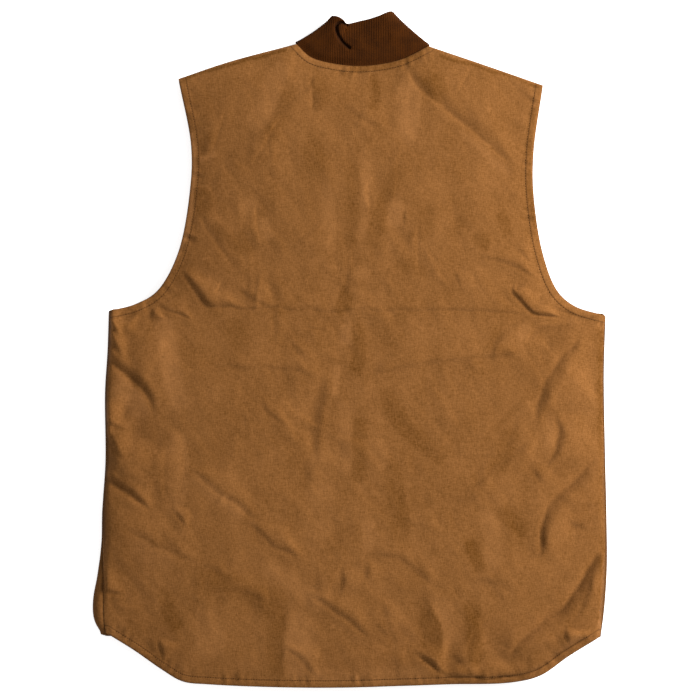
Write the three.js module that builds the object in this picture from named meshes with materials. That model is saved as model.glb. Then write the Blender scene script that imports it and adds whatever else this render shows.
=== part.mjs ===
// Canvas work vest lying flat on its front: a canvas back panel on top, two canvas front panels
// under it, a rib-knit stand collar and a closed front zip. Millimetres, +Z up, +Y to the neck.
import * as THREE from 'three';

// Driving dimensions
const CANVAS_WALL = 2.2;
const COLLAR_WALL = 4.4;
const CLEARANCE = 0.3;
const COLLAR_CLEARANCE = 1.3;
const SEAM_HEIGHT = 12.5;
const EDGE_HEIGHT = 17.5;
const ROLL_WIDTH = 9;
const CROWN_RISE = 18;
const CROWN_REACH = 70;
const EDGE_DROOP = 1.5;
const DROOP_REACH = 14;
const PEEK_LIFT = 0.2;
const RIDGE_SHARE = 0.4;
const RIDGE_OFFSET = 1.5;
const FOLD_FADE = 1.5;
const FRONT_SCOOP = 14;
const FRONT_HEM_INSET = 2.5;
const COLLAR_FLOOR = 0.8;
const COLLAR_BULGE = 1.5;
const ZIP_WIDTH = 24;
const ZIP_TAPE_WALL = 1.6;
const ZIP_CHAIN_WIDTH = 6;
const ZIP_CHAIN_WALL = 3;
const ZIP_BOTTOM_Y = -391;
const ZIP_TOP_Y = 324;

// The vest lies a little askew: its centre line leans to the right going up
const AXIS_X_AT_ORIGIN = 8.8;
const AXIS_LEAN = 0.0162;

// Side seams from hem to armpit; peek is how far the front rolls out past the seam
const LEFT_SIDE = [
  { x: -286, y: -331, peek: 6 },
  { x: -288, y: -314, peek: 12.5 },
  { x: -288.5, y: -293, peek: 13 },
  { x: -288.5, y: -262, peek: 7.5 },
  { x: -289.5, y: -225, peek: 2 },
  { x: -290, y: -188, peek: 0.5 },
  { x: -286.5, y: -130, peek: 0 },
  { x: -287, y: -50, peek: 0 },
  { x: -284, y: 0, peek: 0 },
  { x: -282.5, y: 46, peek: 0 },
];
const RIGHT_SIDE = [
  { x: 293, y: -335.5, peek: 1 },
  { x: 295.5, y: -305, peek: 2.5 },
  { x: 298.8, y: -255, peek: 2.5 },
  { x: 298.5, y: -200, peek: 2.5 },
  { x: 297.2, y: -120, peek: 2 },
  { x: 295.8, y: -30, peek: 2 },
  { x: 297.5, y: 20, peek: 1.6 },
  { x: 298.5, y: 40.5, peek: 1.2 },
];

// Back armholes from armpit to shoulder tip
const LEFT_ARMHOLE = [
  { x: -282.5, y: 46 },
  { x: -252, y: 53.5 },
  { x: -226, y: 69 },
  { x: -202, y: 112 },
  { x: -188, y: 182 },
  { x: -186, y: 238 },
  { x: -201, y: 317.5 },
];
const RIGHT_ARMHOLE = [
  { x: 298.5, y: 40.5 },
  { x: 263, y: 51.5 },
  { x: 243, y: 69 },
  { x: 226, y: 112 },
  { x: 215, y: 182 },
  { x: 215, y: 232 },
  { x: 226, y: 310 },
];

// Top edge of the back from the left shoulder tip to the right one
const LEFT_SHOULDER = [
  { x: -201, y: 317.5 },
  { x: -142, y: 337.5 },
  { x: -63, y: 358.5 },
];
const BACK_NECKLINE = [
  { x: -63, y: 358.5 },
  { x: -46, y: 343 },
  { x: -23, y: 336 },
  { x: 8, y: 332.5 },
  { x: 38, y: 335 },
  { x: 62, y: 341 },
  { x: 92, y: 356 },
];
const RIGHT_SHOULDER = [
  { x: 92, y: 356 },
  { x: 160, y: 333 },
  { x: 226, y: 310 },
];

// Front necklines from the zip up to the neck points, hidden under the back
const LEFT_FRONT_NECKLINE = [
  { x: 1.2, y: 270 },
  { x: -26, y: 280 },
  { x: -46, y: 306 },
  { x: -57, y: 336 },
  { x: -63, y: 358.5 },
];
const RIGHT_FRONT_NECKLINE = [
  { x: 25.2, y: 270 },
  { x: 54, y: 280 },
  { x: 75, y: 306 },
  { x: 86, y: 335 },
  { x: 92, y: 356 },
];

// Shirt-tail hem from the left corner to the right one
const HEM = [
  { x: -286, y: -331 },
  { x: -252, y: -352 },
  { x: -219, y: -375 },
  { x: -196, y: -388 },
  { x: -165, y: -391.5 },
  { x: -34, y: -395.5 },
  { x: 112, y: -391.5 },
  { x: 190, y: -389 },
  { x: 223, y: -381 },
  { x: 258, y: -357 },
  { x: 293, y: -335.5 },
];

// Main folds of the back: a valley through three points, with a ridge beside it
const FOLDS = [
  { name: 'left armpit', x1: -193, y1: 87, x2: -160, y2: 52, x3: -58, y3: 44, depth: 4, width: 13 },
  { name: 'right armpit', x1: 190, y1: 72, x2: 212, y2: 47, x3: 252, y3: 37, depth: 5, width: 13 },
  { name: 'across the chest', x1: 3, y1: 48, x2: 100, y2: 45, x3: 194, y3: 44, depth: 2, width: 12 },
  { name: 'left waist', x1: -152, y1: -19, x2: -93, y2: -22, x3: -29, y3: -32, depth: 2.5, width: 12 },
  { name: 'right waist', x1: 30, y1: -26, x2: 100, y2: -15, x3: 176, y3: -12, depth: 2.5, width: 12 },
  { name: 'left rib', x1: -277, y1: -12, x2: -251, y2: -41, x3: -231, y3: -73, depth: 4, width: 15 },
  { name: 'left flank', x1: -277, y1: -155, x2: -262, y2: -168, x3: -236, y3: -187, depth: 4, width: 14 },
  { name: 'left seat', x1: -263, y1: -211, x2: -163, y2: -256, x3: -20, y3: -308, depth: 4, width: 17 },
  { name: 'left back', x1: -184, y1: -135, x2: -128, y2: -186, x3: -56, y3: -244, depth: 3, width: 14 },
  { name: 'right rib', x1: 264, y1: 11, x2: 236, y2: -34, x3: 218, y3: -80, depth: 4.5, width: 15 },
  { name: 'right flank', x1: 246, y1: -75, x2: 248, y2: -105, x3: 227, y3: -140, depth: 3.5, width: 14 },
  { name: 'right hip', x1: 286, y1: -131, x2: 236, y2: -178, x3: 224, y3: -242, depth: 4.5, width: 15 },
  { name: 'right corner', x1: 288, y1: -242, x2: 250, y2: -304, x3: 186, y3: -360, depth: 6, width: 16 },
  { name: 'hem centre', x1: 70, y1: -352, x2: 94, y2: -370, x3: 112, y3: -382, depth: 3.5, width: 12 },
  { name: 'seat centre', x1: -23, y1: -299, x2: 0, y2: -324, x3: 22, y3: -335, depth: 3, width: 13 },
  { name: 'right shoulder', x1: 76, y1: 330, x2: 126, y2: 276, x3: 190, y3: 222, depth: 3.5, width: 18 },
  { name: 'right armhole', x1: 155, y1: 111, x2: 184, y2: 102, x3: 213, y3: 88, depth: 3, width: 12 },
  { name: 'centre back upper', x1: -10, y1: 195, x2: -6, y2: 125, x3: -8, y3: 60, depth: 2, width: 18 },
  { name: 'centre back lower', x1: 9, y1: -72, x2: 12, y2: -105, x3: 14, y3: -142, depth: 2, width: 16 },
];

// Collar stations from the left end at the zip, round the back, to the right end: the seam point
// is a share along a neckline, and the top edge is placed freely, low in front and high behind
const COLLAR = [
  { neckline: 'left front', along: 0, topX: 2, topY: 324, topZ: 2.7 },
  { neckline: 'left front', along: 0.28, topX: -5, topY: 332, topZ: 2.7 },
  { neckline: 'left front', along: 0.56, topX: -12, topY: 349, topZ: 2.7 },
  { neckline: 'left front', along: 0.8, topX: -18, topY: 369, topZ: 2.7 },
  { neckline: 'left front', along: 0.93, topX: -20, topY: 383, topZ: 3 },
  { neckline: 'back', along: 0, topX: -19.8, topY: 390.5, topZ: 9 },
  { neckline: 'back', along: 0.07, topX: -17, topY: 390, topZ: 17 },
  { neckline: 'back', along: 0.16, topX: -11.5, topY: 387.5, topZ: 21 },
  { neckline: 'back', along: 0.26, topX: -6, topY: 383.5, topZ: 20 },
  { neckline: 'back', along: 0.36, topX: -2, topY: 380.5, topZ: 15 },
  { neckline: 'back', along: 0.48, topX: 6, topY: 381.5, topZ: 14.5 },
  { neckline: 'back', along: 0.62, topX: 17, topY: 384.5, topZ: 15.5 },
  { neckline: 'back', along: 0.76, topX: 28, topY: 388, topZ: 16.5 },
  { neckline: 'back', along: 0.87, topX: 37, topY: 391.5, topZ: 16.5 },
  { neckline: 'back', along: 0.95, topX: 43, topY: 394, topZ: 14 },
  { neckline: 'back', along: 1, topX: 46.6, topY: 394.8, topZ: 9 },
  { neckline: 'right front', along: 0.93, topX: 48, topY: 387, topZ: 3 },
  { neckline: 'right front', along: 0.8, topX: 47, topY: 372, topZ: 2.7 },
  { neckline: 'right front', along: 0.56, topX: 41, topY: 350, topZ: 2.7 },
  { neckline: 'right front', along: 0.28, topX: 33.5, topY: 332, topZ: 2.7 },
  { neckline: 'right front', along: 0, topX: 26, topY: 324, topZ: 2.7 },
];

// Grid lines: steps across a rolled edge follow equal angles of a quarter round
const ROLL_STEPS = 4;
const SHOULDER_STEPS = 8;
const NECK_STEPS = 14;
const SIDE_STEPS = 17;
const HEM_CORNER_STEPS = 4;
const ARMHOLE_STEPS = 13;
const FRONT_STEPS = 6;
const FRONT_ARMHOLE_STEPS = 22;
const COLLAR_STEPS_PER_ROW = 2;
const COLLAR_HEIGHTS = [0, 0.25, 0.5, 0.75, 0.93, 1];
const COLLAR_RIM_SHARE = 0.45;
const SAMPLES = 240;
const SEAM_SNAP = 0.05;
const FOLD_SAMPLES = 16;
const ARMPIT_ALONG = 0.52;
const LEFT_NECK_ALONG = 0.33;
const RIGHT_NECK_ALONG = 0.67;
const FRONT_NECK_ALONG = 0.8;

// Cloth colours
const CANVAS_BROWN = '#8b5d2f';
const KNIT_BROWN = '#43230e';
const ZIP_BROWN = '#4a3520';
const clothMaterial = (colour) =>
  new THREE.MeshStandardMaterial({ color: colour, roughness: 0.9, metalness: 0 });

const axisX = (y) => AXIS_X_AT_ORIGIN + AXIS_LEAN * y;

// A smooth curve through table rows; its z carries the peek
function curveThrough(rows) {
  const points = rows.map((row) => new THREE.Vector3(row.x, row.y, row.peek ?? 0));
  return new THREE.CatmullRomCurve3(points, false, 'centripetal');
}

// Several curves end to end as one function of 0 to 1, with corners at the given breaks
function joinedCurves(curves, breaks) {
  return (along) => {
    let part = 0;
    while (part < curves.length - 1 && along > breaks[part + 1]) part += 1;
    const share = (along - breaks[part]) / (breaks[part + 1] - breaks[part]);
    return alongCurve(curves[part])(share);
  };
}

const alongCurve = (curve) => (t) => curve.getPointAt(THREE.MathUtils.clamp(t, 0, 1));
const sampled = (pointAt) => Array.from({ length: SAMPLES + 1 }, (_, k) => pointAt(k / SAMPLES));

const leftSide = curveThrough(LEFT_SIDE);
const rightSide = curveThrough(RIGHT_SIDE);
const leftShoulder = curveThrough(LEFT_SHOULDER);
const rightShoulder = curveThrough(RIGHT_SHOULDER);
const leftArmhole = curveThrough(LEFT_ARMHOLE);
const rightArmhole = curveThrough(RIGHT_ARMHOLE);
const backNeckline = curveThrough(BACK_NECKLINE);
const hem = curveThrough(HEM);
const sideBreaks = [0, ARMPIT_ALONG, 1];
const leftRail = joinedCurves([leftSide, leftArmhole], sideBreaks);
const rightRail = joinedCurves([rightSide, rightArmhole], sideBreaks);
const topBreaks = [0, LEFT_NECK_ALONG, RIGHT_NECK_ALONG, 1];
const topRail = joinedCurves([leftShoulder, backNeckline, rightShoulder], topBreaks);
const hemRail = alongCurve(hem);

// Closed edges, where back and front are sewn; turn is the side on which the outside lies
const closedEdges = [
  { points: sampled(alongCurve(leftSide)), turn: 1 },
  { points: sampled(alongCurve(rightSide)), turn: -1 },
  { points: sampled(alongCurve(leftShoulder)), turn: 1 },
  { points: sampled(alongCurve(rightShoulder)), turn: 1 },
];
const openEdges = [leftArmhole, rightArmhole, hem, backNeckline]
  .map((curve) => sampled(alongCurve(curve)));
const outlineRails = [leftRail, rightRail, hemRail, topRail].map(sampled);

// Nearest point of a polyline in plan: distance, place, peek and direction
function nearestOn(points, x, y) {
  let best = { distance: Infinity };
  for (let k = 0; k < points.length - 1; k += 1) {
    const a = points[k];
    const b = points[k + 1];
    const dx = b.x - a.x;
    const dy = b.y - a.y;
    const share = THREE.MathUtils.clamp(
      ((x - a.x) * dx + (y - a.y) * dy) / (dx * dx + dy * dy), 0, 1);
    const nearX = a.x + share * dx;
    const nearY = a.y + share * dy;
    const distance = Math.hypot(x - nearX, y - nearY);
    if (distance < best.distance) {
      const length = Math.hypot(dx, dy);
      const peek = Math.max(0, a.z + share * (b.z - a.z));
      best = { distance, x: nearX, y: nearY, peek, alongX: dx / length, alongY: dy / length };
    }
  }
  return best;
}

// Nearest sewn edge, with its outward direction in plan
function nearestSeam(x, y) {
  let best = { distance: Infinity };
  for (const edge of closedEdges) {
    const near = nearestOn(edge.points, x, y);
    if (near.distance < best.distance) {
      best = { ...near, outX: -near.alongY * edge.turn, outY: near.alongX * edge.turn };
    }
  }
  best.distance = Math.max(0, best.distance - SEAM_SNAP);
  return best;
}

// Section of a rolled edge: the front turns up as part of an ellipse and ends at the seam
function rollSection(peek) {
  const width = Math.max(ROLL_WIDTH, peek);
  const endAngle = Math.acos(1 - peek / width);
  const seamHeight = SEAM_HEIGHT + PEEK_LIFT * peek;
  return { width, endAngle, seamHeight, halfHeight: seamHeight / (1 + Math.sin(endAngle)) };
}

// Line of a fold through its three points
function foldLine(fold) {
  const rows = [{ x: fold.x1, y: fold.y1 }, { x: fold.x2, y: fold.y2 }, { x: fold.x3, y: fold.y3 }];
  return curveThrough(rows).getPoints(FOLD_SAMPLES);
}

const foldLines = FOLDS.map((fold) => ({ ...fold, line: foldLine(fold) }));

// Height of a fold: a valley along its line and a ridge on its left, fading at both ends
function foldHeight({ line, depth, width }, x, y) {
  const near = nearestOn(line, x, y);
  const ends = [line[0], line[line.length - 1]];
  const endDistance = Math.min(...ends.map((end) => Math.hypot(x - end.x, y - end.y)));
  const fade = THREE.MathUtils.smoothstep(endDistance, 0, FOLD_FADE * width);
  const side = Math.sign(near.alongX * (y - near.y) - near.alongY * (x - near.x));
  const across = (side * near.distance) / width;
  const valley = (1 - RIDGE_SHARE) * Math.exp(-(across ** 2));
  const ridge = RIDGE_SHARE * Math.exp(-((across - RIDGE_OFFSET) ** 2));
  return depth * fade * (ridge - valley);
}

// Outer face of the back panel above a plan point
function backHeight(x, y) {
  const seam = nearestSeam(x, y);
  const { seamHeight } = rollSection(seam.peek);
  const roll = Math.min(seam.distance / ROLL_WIDTH, 1);
  const rolled = seamHeight + (EDGE_HEIGHT - seamHeight) * Math.sqrt(1 - (1 - roll) ** 2);
  let crown = CROWN_RISE;
  for (const rail of outlineRails) crown *= 1 - Math.exp(-nearestOn(rail, x, y).distance / CROWN_REACH);
  let openDistance = Infinity;
  for (const edge of openEdges) openDistance = Math.min(openDistance, nearestOn(edge, x, y).distance);
  const droop = EDGE_DROOP * Math.exp(-((openDistance / DROOP_REACH) ** 2));
  let folds = 0;
  for (const fold of foldLines) folds += foldHeight(fold, x, y);
  return rolled + crown + (folds - droop) * roll ** 2;
}

// Outer face of a front panel: flat on the floor, rolled up to the seam near a sewn edge
function frontPoint(x, y) {
  const seam = nearestSeam(x, y);
  if (seam.distance >= ROLL_WIDTH) return new THREE.Vector3(x, y, 0);
  const { width, endAngle, halfHeight } = rollSection(seam.peek);
  const turn = Math.acos(1 - seam.distance / ROLL_WIDTH) / (Math.PI / 2);
  const angle = endAngle + turn * (-Math.PI / 2 - endAngle);
  const outwards = seam.peek - width + width * Math.cos(angle) + seam.distance;
  return new THREE.Vector3(
    x + outwards * seam.outX, y + outwards * seam.outY, halfHeight * (1 + Math.sin(angle)));
}

// Patch between four boundary curves
function patchPoint(bottom, top, left, right, u, v) {
  const place = (axis) =>
    (1 - u) * left(v)[axis] + u * right(v)[axis] + (1 - v) * bottom(u)[axis] + v * top(u)[axis]
    - (1 - u) * (1 - v) * bottom(0)[axis] - u * (1 - v) * bottom(1)[axis]
    - (1 - u) * v * top(0)[axis] - u * v * top(1)[axis];
  return { x: place('x'), y: place('y') };
}

const rollShares = Array.from({ length: ROLL_STEPS },
  (_, k) => 1 - Math.cos(((k + 1) / ROLL_STEPS) * Math.PI / 2));

// Grid values from 0 to 1 in one stretch, with rolled-edge steps at its start
function steppedFromRoll(stretch, steps) {
  const roll = rollShares.map((share) => (share * ROLL_WIDTH) / stretch);
  const start = roll[ROLL_STEPS - 1];
  const rest = Array.from({ length: steps }, (_, k) => start + ((1 - start) * (k + 1)) / steps);
  return [0, ...roll, ...rest];
}

const evenSteps = (steps) => Array.from({ length: steps + 1 }, (_, k) => k / steps);
const spread = (values, from, to) => values.map((value) => from + value * (to - from));

const mirrored = (values) => values.map((value) => 1 - value).reverse();

// Columns of the back in a row of the given width: rolled edge, shoulder, neck, shoulder, rolled edge
function backColumns(width) {
  const shoulder = steppedFromRoll(width * LEFT_NECK_ALONG, SHOULDER_STEPS);
  return [
    ...spread(shoulder, 0, LEFT_NECK_ALONG),
    ...spread(evenSteps(NECK_STEPS), LEFT_NECK_ALONG, RIGHT_NECK_ALONG).slice(1),
    ...spread(mirrored(shoulder), RIGHT_NECK_ALONG, 1).slice(1),
  ];
}

// Rows of a panel: closer at the hem corner and at the shoulder seam
const hemRows = evenSteps(HEM_CORNER_STEPS).map((value) => value / SIDE_STEPS);
const sideRows = [...hemRows, ...evenSteps(SIDE_STEPS).slice(2)];
const armpitRow = sideRows.length - 1;
const armholeLength = leftArmhole.getLength();

function panelRows(armholeSteps) {
  return [
    ...spread(sideRows, 0, ARMPIT_ALONG),
    ...spread(mirrored(steppedFromRoll(armholeLength, armholeSteps)), ARMPIT_ALONG, 1).slice(1),
  ];
}

// Outward directions of a grid of points, rows going up and columns going right
function gridNormals(grid) {
  const clampRow = (row) => THREE.MathUtils.clamp(row, 0, grid.length - 1);
  const clampColumn = (column) => THREE.MathUtils.clamp(column, 0, grid[0].length - 1);
  return grid.map((points, row) => points.map((_, column) => {
    const right = grid[row][clampColumn(column + 1)].clone().sub(grid[row][clampColumn(column - 1)]);
    const up = grid[clampRow(row + 1)][column].clone().sub(grid[clampRow(row - 1)][column]);
    return right.cross(up).normalize();
  }));
}

// Closed wall between an outer grid and an inner grid of the same size
function wallGeometry(outer, inner) {
  const rows = outer.length;
  const columns = outer[0].length;
  const positions = [...outer.flat(), ...inner.flat()].flatMap((point) => point.toArray());
  const at = (layer, row, column) => layer * rows * columns + row * columns + column;
  const index = [];
  const quad = (a, b, c, d) => index.push(a, b, c, a, c, d);
  for (let row = 0; row < rows - 1; row += 1) {
    for (let column = 0; column < columns - 1; column += 1) {
      const up = row + 1;
      const right = column + 1;
      quad(at(0, row, column), at(0, row, right), at(0, up, right), at(0, up, column));
      quad(at(1, row, column), at(1, up, column), at(1, up, right), at(1, row, right));
    }
  }
  const lastRow = rows - 1;
  const lastColumn = columns - 1;
  for (let column = 0; column < lastColumn; column += 1) {
    const right = column + 1;
    quad(at(1, 0, column), at(1, 0, right), at(0, 0, right), at(0, 0, column));
    quad(at(0, lastRow, column), at(0, lastRow, right), at(1, lastRow, right), at(1, lastRow, column));
  }
  for (let row = 0; row < lastRow; row += 1) {
    const up = row + 1;
    quad(at(0, row, 0), at(0, up, 0), at(1, up, 0), at(1, row, 0));
    quad(at(0, up, lastColumn), at(0, row, lastColumn), at(1, row, lastColumn), at(1, up, lastColumn));
  }
  const geometry = new THREE.BufferGeometry();
  geometry.setAttribute('position', new THREE.Float32BufferAttribute(positions, 3));
  geometry.setIndex(index);
  geometry.computeVertexNormals();
  return geometry;
}

// Grid points on a sewn edge move half the clearance back from the seam, and face along it
function canvasPanel(name, grid, clearanceSide, onSeam) {
  const normals = gridNormals(grid);
  const inner = grid.map((points, row) => points.map((point, column) => {
    const normal = normals[row][column];
    const seam = nearestSeam(point.x, point.y);
    const { endAngle } = rollSection(seam.peek);
    if (onSeam(row, column)) {
      const outShare = Math.cos(endAngle);
      normal.set(outShare * seam.outX, outShare * seam.outY, Math.sin(endAngle));
      const back = (clearanceSide * CLEARANCE) / 2;
      const lean = -Math.sin(endAngle) * back;
      point.add(new THREE.Vector3(lean * seam.outX, lean * seam.outY, outShare * back));
    }
    return point.clone().addScaledVector(normal, -CANVAS_WALL);
  }));
  const mesh = new THREE.Mesh(wallGeometry(grid, inner), clothMaterial(CANVAS_BROWN));
  mesh.name = name;
  return mesh;
}

function backPanel() {
  const grid = panelRows(ARMHOLE_STEPS).map((v) => {
    const width = leftRail(v).distanceTo(rightRail(v));
    return backColumns(width).map((u) => {
      const { x, y } = patchPoint(hemRail, topRail, leftRail, rightRail, u, v);
      return new THREE.Vector3(x, y, backHeight(x, y));
    });
  });
  const neckColumn = ROLL_STEPS + SHOULDER_STEPS;
  const lastColumn = grid[0].length - 1;
  const onSeam = (row, column) =>
    ((column === 0 || column === lastColumn) && row <= armpitRow)
    || (row === grid.length - 1 && (column <= neckColumn || column >= lastColumn - neckColumn));
  return canvasPanel('back_panel', grid, 1, onSeam);
}

// Front edges under the back: scooped armhole, straight edge at the zip, then the neckline
function frontPanel(name, side, rail, shoulder, necklineRows, hemStart) {
  const neckline = curveThrough(necklineRows);
  const zipEdge = (y) => axisX(y) + side * (ZIP_WIDTH / 2);
  const hemEnd = hemAlongAt(zipEdge(ZIP_BOTTOM_Y));
  const outer = (v) => {
    const point = rail(v);
    const armhole = Math.max(0, (v - ARMPIT_ALONG) / (1 - ARMPIT_ALONG));
    point.x -= side * FRONT_SCOOP * Math.sin(Math.PI * armhole);
    return point;
  };
  const bottom = (u) => {
    const point = hemRail(hemStart + u * (hemEnd - hemStart));
    point.y += FRONT_HEM_INSET * Math.min(1, u * FRONT_STEPS);
    return point;
  };
  const hemY = bottom(1).y;
  const zipLine = (t) => {
    const y = hemY + t * (necklineRows[0].y - hemY);
    return new THREE.Vector3(zipEdge(y), y, 0);
  };
  const inner = (v) => (v > FRONT_NECK_ALONG
    ? alongCurve(neckline)((v - FRONT_NECK_ALONG) / (1 - FRONT_NECK_ALONG))
    : zipLine(v / FRONT_NECK_ALONG));
  const top = (u) => alongCurve(shoulder)(side < 0 ? u : 1 - u);
  const grid = panelRows(FRONT_ARMHOLE_STEPS).map((v) => {
    const width = outer(v).distanceTo(inner(v));
    return steppedFromRoll(width, FRONT_STEPS).map((u) => {
      const { x, y } = patchPoint(bottom, top, outer, inner, u, v);
      return frontPoint(x, y);
    });
  });
  if (side < 0) grid.forEach((points) => points.reverse());
  const outerColumn = side < 0 ? ROLL_STEPS + FRONT_STEPS : 0;
  const onSeam = (row, column) =>
    (column === outerColumn && row <= armpitRow) || row === grid.length - 1;
  return canvasPanel(name, grid, -1, onSeam);
}

// Share along the hem at which it crosses a given x
function hemAlongAt(x) {
  const points = sampled(hemRail);
  const after = points.findIndex((point) => point.x > x);
  const a = points[after - 1];
  const b = points[after];
  return (after - 1 + (x - a.x) / (b.x - a.x)) / SAMPLES;
}

const necklines = {
  back: backNeckline,
  'left front': curveThrough(LEFT_FRONT_NECKLINE),
  'right front': curveThrough(RIGHT_FRONT_NECKLINE),
};

// Middle of the canvas wall at a neckline, where the collar's lower edge meets it
function seamMiddle(neckline, along) {
  const point = alongCurve(necklines[neckline])(along);
  if (neckline === 'back') {
    const height = backHeight(point.x, point.y);
    const above = (height - SEAM_HEIGHT) / (EDGE_HEIGHT - SEAM_HEIGHT);
    point.z = height - (CANVAS_WALL / 2) * THREE.MathUtils.clamp(above, 0, 1);
  } else {
    point.z = Math.max(COLLAR_FLOOR + COLLAR_WALL / 2, frontPoint(point.x, point.y).z);
  }
  return point;
}

function collarBand() {
  const seams = COLLAR.map((row) => seamMiddle(row.neckline, row.along));
  const tops = COLLAR.map((row) => new THREE.Vector3(row.topX, row.topY, row.topZ));
  const seamCurve = new THREE.CatmullRomCurve3(seams, false, 'centripetal');
  const topCurve = new THREE.CatmullRomCurve3(tops, false, 'centripetal');
  const stations = evenSteps((COLLAR.length - 1) * COLLAR_STEPS_PER_ROW);
  const middle = COLLAR_HEIGHTS.map((height) => stations.map((t) => {
    const seam = seamCurve.getPoint(t);
    const top = topCurve.getPoint(t);
    const start = COLLAR_CLEARANCE / seam.distanceTo(top);
    return seam.lerp(top, start + (1 - start) * height);
  }));
  const normals = gridNormals(middle);
  const half = (height) => (COLLAR_WALL / 2) * (height === 1 ? COLLAR_RIM_SHARE : 1);
  const face = (sign) => middle.map((points, row) => points.map((point, column) => {
    const height = COLLAR_HEIGHTS[row];
    const bulge = COLLAR_BULGE * 4 * height * (1 - height) * Math.max(0, normals[row][column].z);
    return point.clone().addScaledVector(normals[row][column], bulge + sign * half(height));
  }));
  const mesh = new THREE.Mesh(wallGeometry(face(1), face(-1)), clothMaterial(KNIT_BROWN));
  mesh.name = 'collar';
  return mesh;
}

// Closed zip between the fronts: tape with a raised chain on its inner side
function frontZip() {
  const halfTape = ZIP_WIDTH / 2 - CLEARANCE;
  const halfChain = ZIP_CHAIN_WIDTH / 2;
  const section = new THREE.Shape();
  section.moveTo(-halfTape, 0);
  section.lineTo(halfTape, 0);
  section.lineTo(halfTape, ZIP_TAPE_WALL);
  section.lineTo(halfChain, ZIP_TAPE_WALL);
  section.lineTo(halfChain, ZIP_CHAIN_WALL);
  section.lineTo(-halfChain, ZIP_CHAIN_WALL);
  section.lineTo(-halfChain, ZIP_TAPE_WALL);
  section.lineTo(-halfTape, ZIP_TAPE_WALL);
  section.closePath();
  const length = ZIP_TOP_Y - ZIP_BOTTOM_Y;
  const geometry = new THREE.ExtrudeGeometry(section, { depth: length, bevelEnabled: false, steps: 1 });
  const mesh = new THREE.Mesh(geometry, clothMaterial(ZIP_BROWN));
  mesh.name = 'front_zip';
  mesh.rotation.x = Math.PI / 2;
  mesh.position.y = ZIP_TOP_Y;
  const leaning = new THREE.Group();
  leaning.rotation.z = -Math.atan(AXIS_LEAN);
  leaning.position.x = AXIS_X_AT_ORIGIN;
  leaning.add(mesh);
  return leaning;
}

const vest = new THREE.Group();
vest.add(
  backPanel(),
  frontPanel('front_panel_left', -1, leftRail, leftShoulder, LEFT_FRONT_NECKLINE, 0),
  frontPanel('front_panel_right', 1, rightRail, rightShoulder, RIGHT_FRONT_NECKLINE, 1),
  collarBand(),
  frontZip(),
);

export default vest;
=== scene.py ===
import math
from collections import namedtuple

import bpy
import numpy as np
from bpy.props import FloatProperty, FloatVectorProperty, PointerProperty
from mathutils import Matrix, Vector


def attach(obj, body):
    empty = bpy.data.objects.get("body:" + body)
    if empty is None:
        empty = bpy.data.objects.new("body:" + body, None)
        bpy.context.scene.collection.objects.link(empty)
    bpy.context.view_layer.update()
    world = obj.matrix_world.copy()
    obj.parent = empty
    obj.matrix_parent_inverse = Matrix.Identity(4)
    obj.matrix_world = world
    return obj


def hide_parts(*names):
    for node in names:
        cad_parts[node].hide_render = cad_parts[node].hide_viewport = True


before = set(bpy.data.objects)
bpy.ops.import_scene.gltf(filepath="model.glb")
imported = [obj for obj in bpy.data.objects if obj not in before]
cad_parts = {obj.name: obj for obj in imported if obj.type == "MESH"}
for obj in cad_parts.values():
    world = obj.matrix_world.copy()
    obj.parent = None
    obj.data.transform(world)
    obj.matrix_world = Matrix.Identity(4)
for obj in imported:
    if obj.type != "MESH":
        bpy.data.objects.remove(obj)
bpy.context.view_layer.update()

bl_info = {
    "name": "Canvas vest looks",
    "version": (1, 0, 0),
    "blender": (4, 5, 0),
    "location": "View3D > Sidebar > Vest",
    "description": "Builds the visible cloth, knit, stitching and zip of a canvas vest round its solids",
    "category": "Object",
}

MM = 0.001
BODY = "root"

# Side seams from hem to armpit: x, y and peek, how far the front rolls out past the seam
LEFT_SIDE = (
    (-286, -331, 6), (-288, -314, 12.5), (-288.5, -293, 13), (-288.5, -262, 7.5), (-289.5, -225, 2),
    (-290, -188, 0.5), (-286.5, -130, 0), (-287, -50, 0), (-284, 0, 0), (-282.5, 46, 0),
)
RIGHT_SIDE = (
    (293, -335.5, 1), (295.5, -305, 2.5), (298.8, -255, 2.5), (298.5, -200, 2.5), (297.2, -120, 2),
    (295.8, -30, 2), (297.5, 20, 1.6), (298.5, 40.5, 1.2),
)

# Back armholes from armpit to shoulder tip, top edge from left to right, and hem from left to right
LEFT_ARMHOLE = (
    (-282.5, 46), (-252, 53.5), (-226, 69), (-202, 112), (-188, 182), (-186, 238), (-201, 317.5),
)
RIGHT_ARMHOLE = (
    (298.5, 40.5), (263, 51.5), (243, 69), (226, 112), (215, 182), (215, 232), (226, 310),
)
LEFT_SHOULDER = ((-201, 317.5), (-142, 337.5), (-63, 358.5))
BACK_NECKLINE = (
    (-63, 358.5), (-46, 343), (-23, 336), (8, 332.5), (38, 335), (62, 341), (92, 356),
)
RIGHT_SHOULDER = ((92, 356), (160, 333), (226, 310))
HEM = (
    (-286, -331), (-252, -352), (-219, -375), (-196, -388), (-165, -391.5), (-34, -395.5),
    (112, -391.5), (190, -389), (223, -381), (258, -357), (293, -335.5),
)

# Front necklines from the zip up to the neck points
LEFT_FRONT_NECKLINE = ((1.2, 270), (-26, 280), (-46, 306), (-57, 336), (-63, 358.5))
RIGHT_FRONT_NECKLINE = ((25.2, 270), (54, 280), (75, 306), (86, 335), (92, 356))

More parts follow.
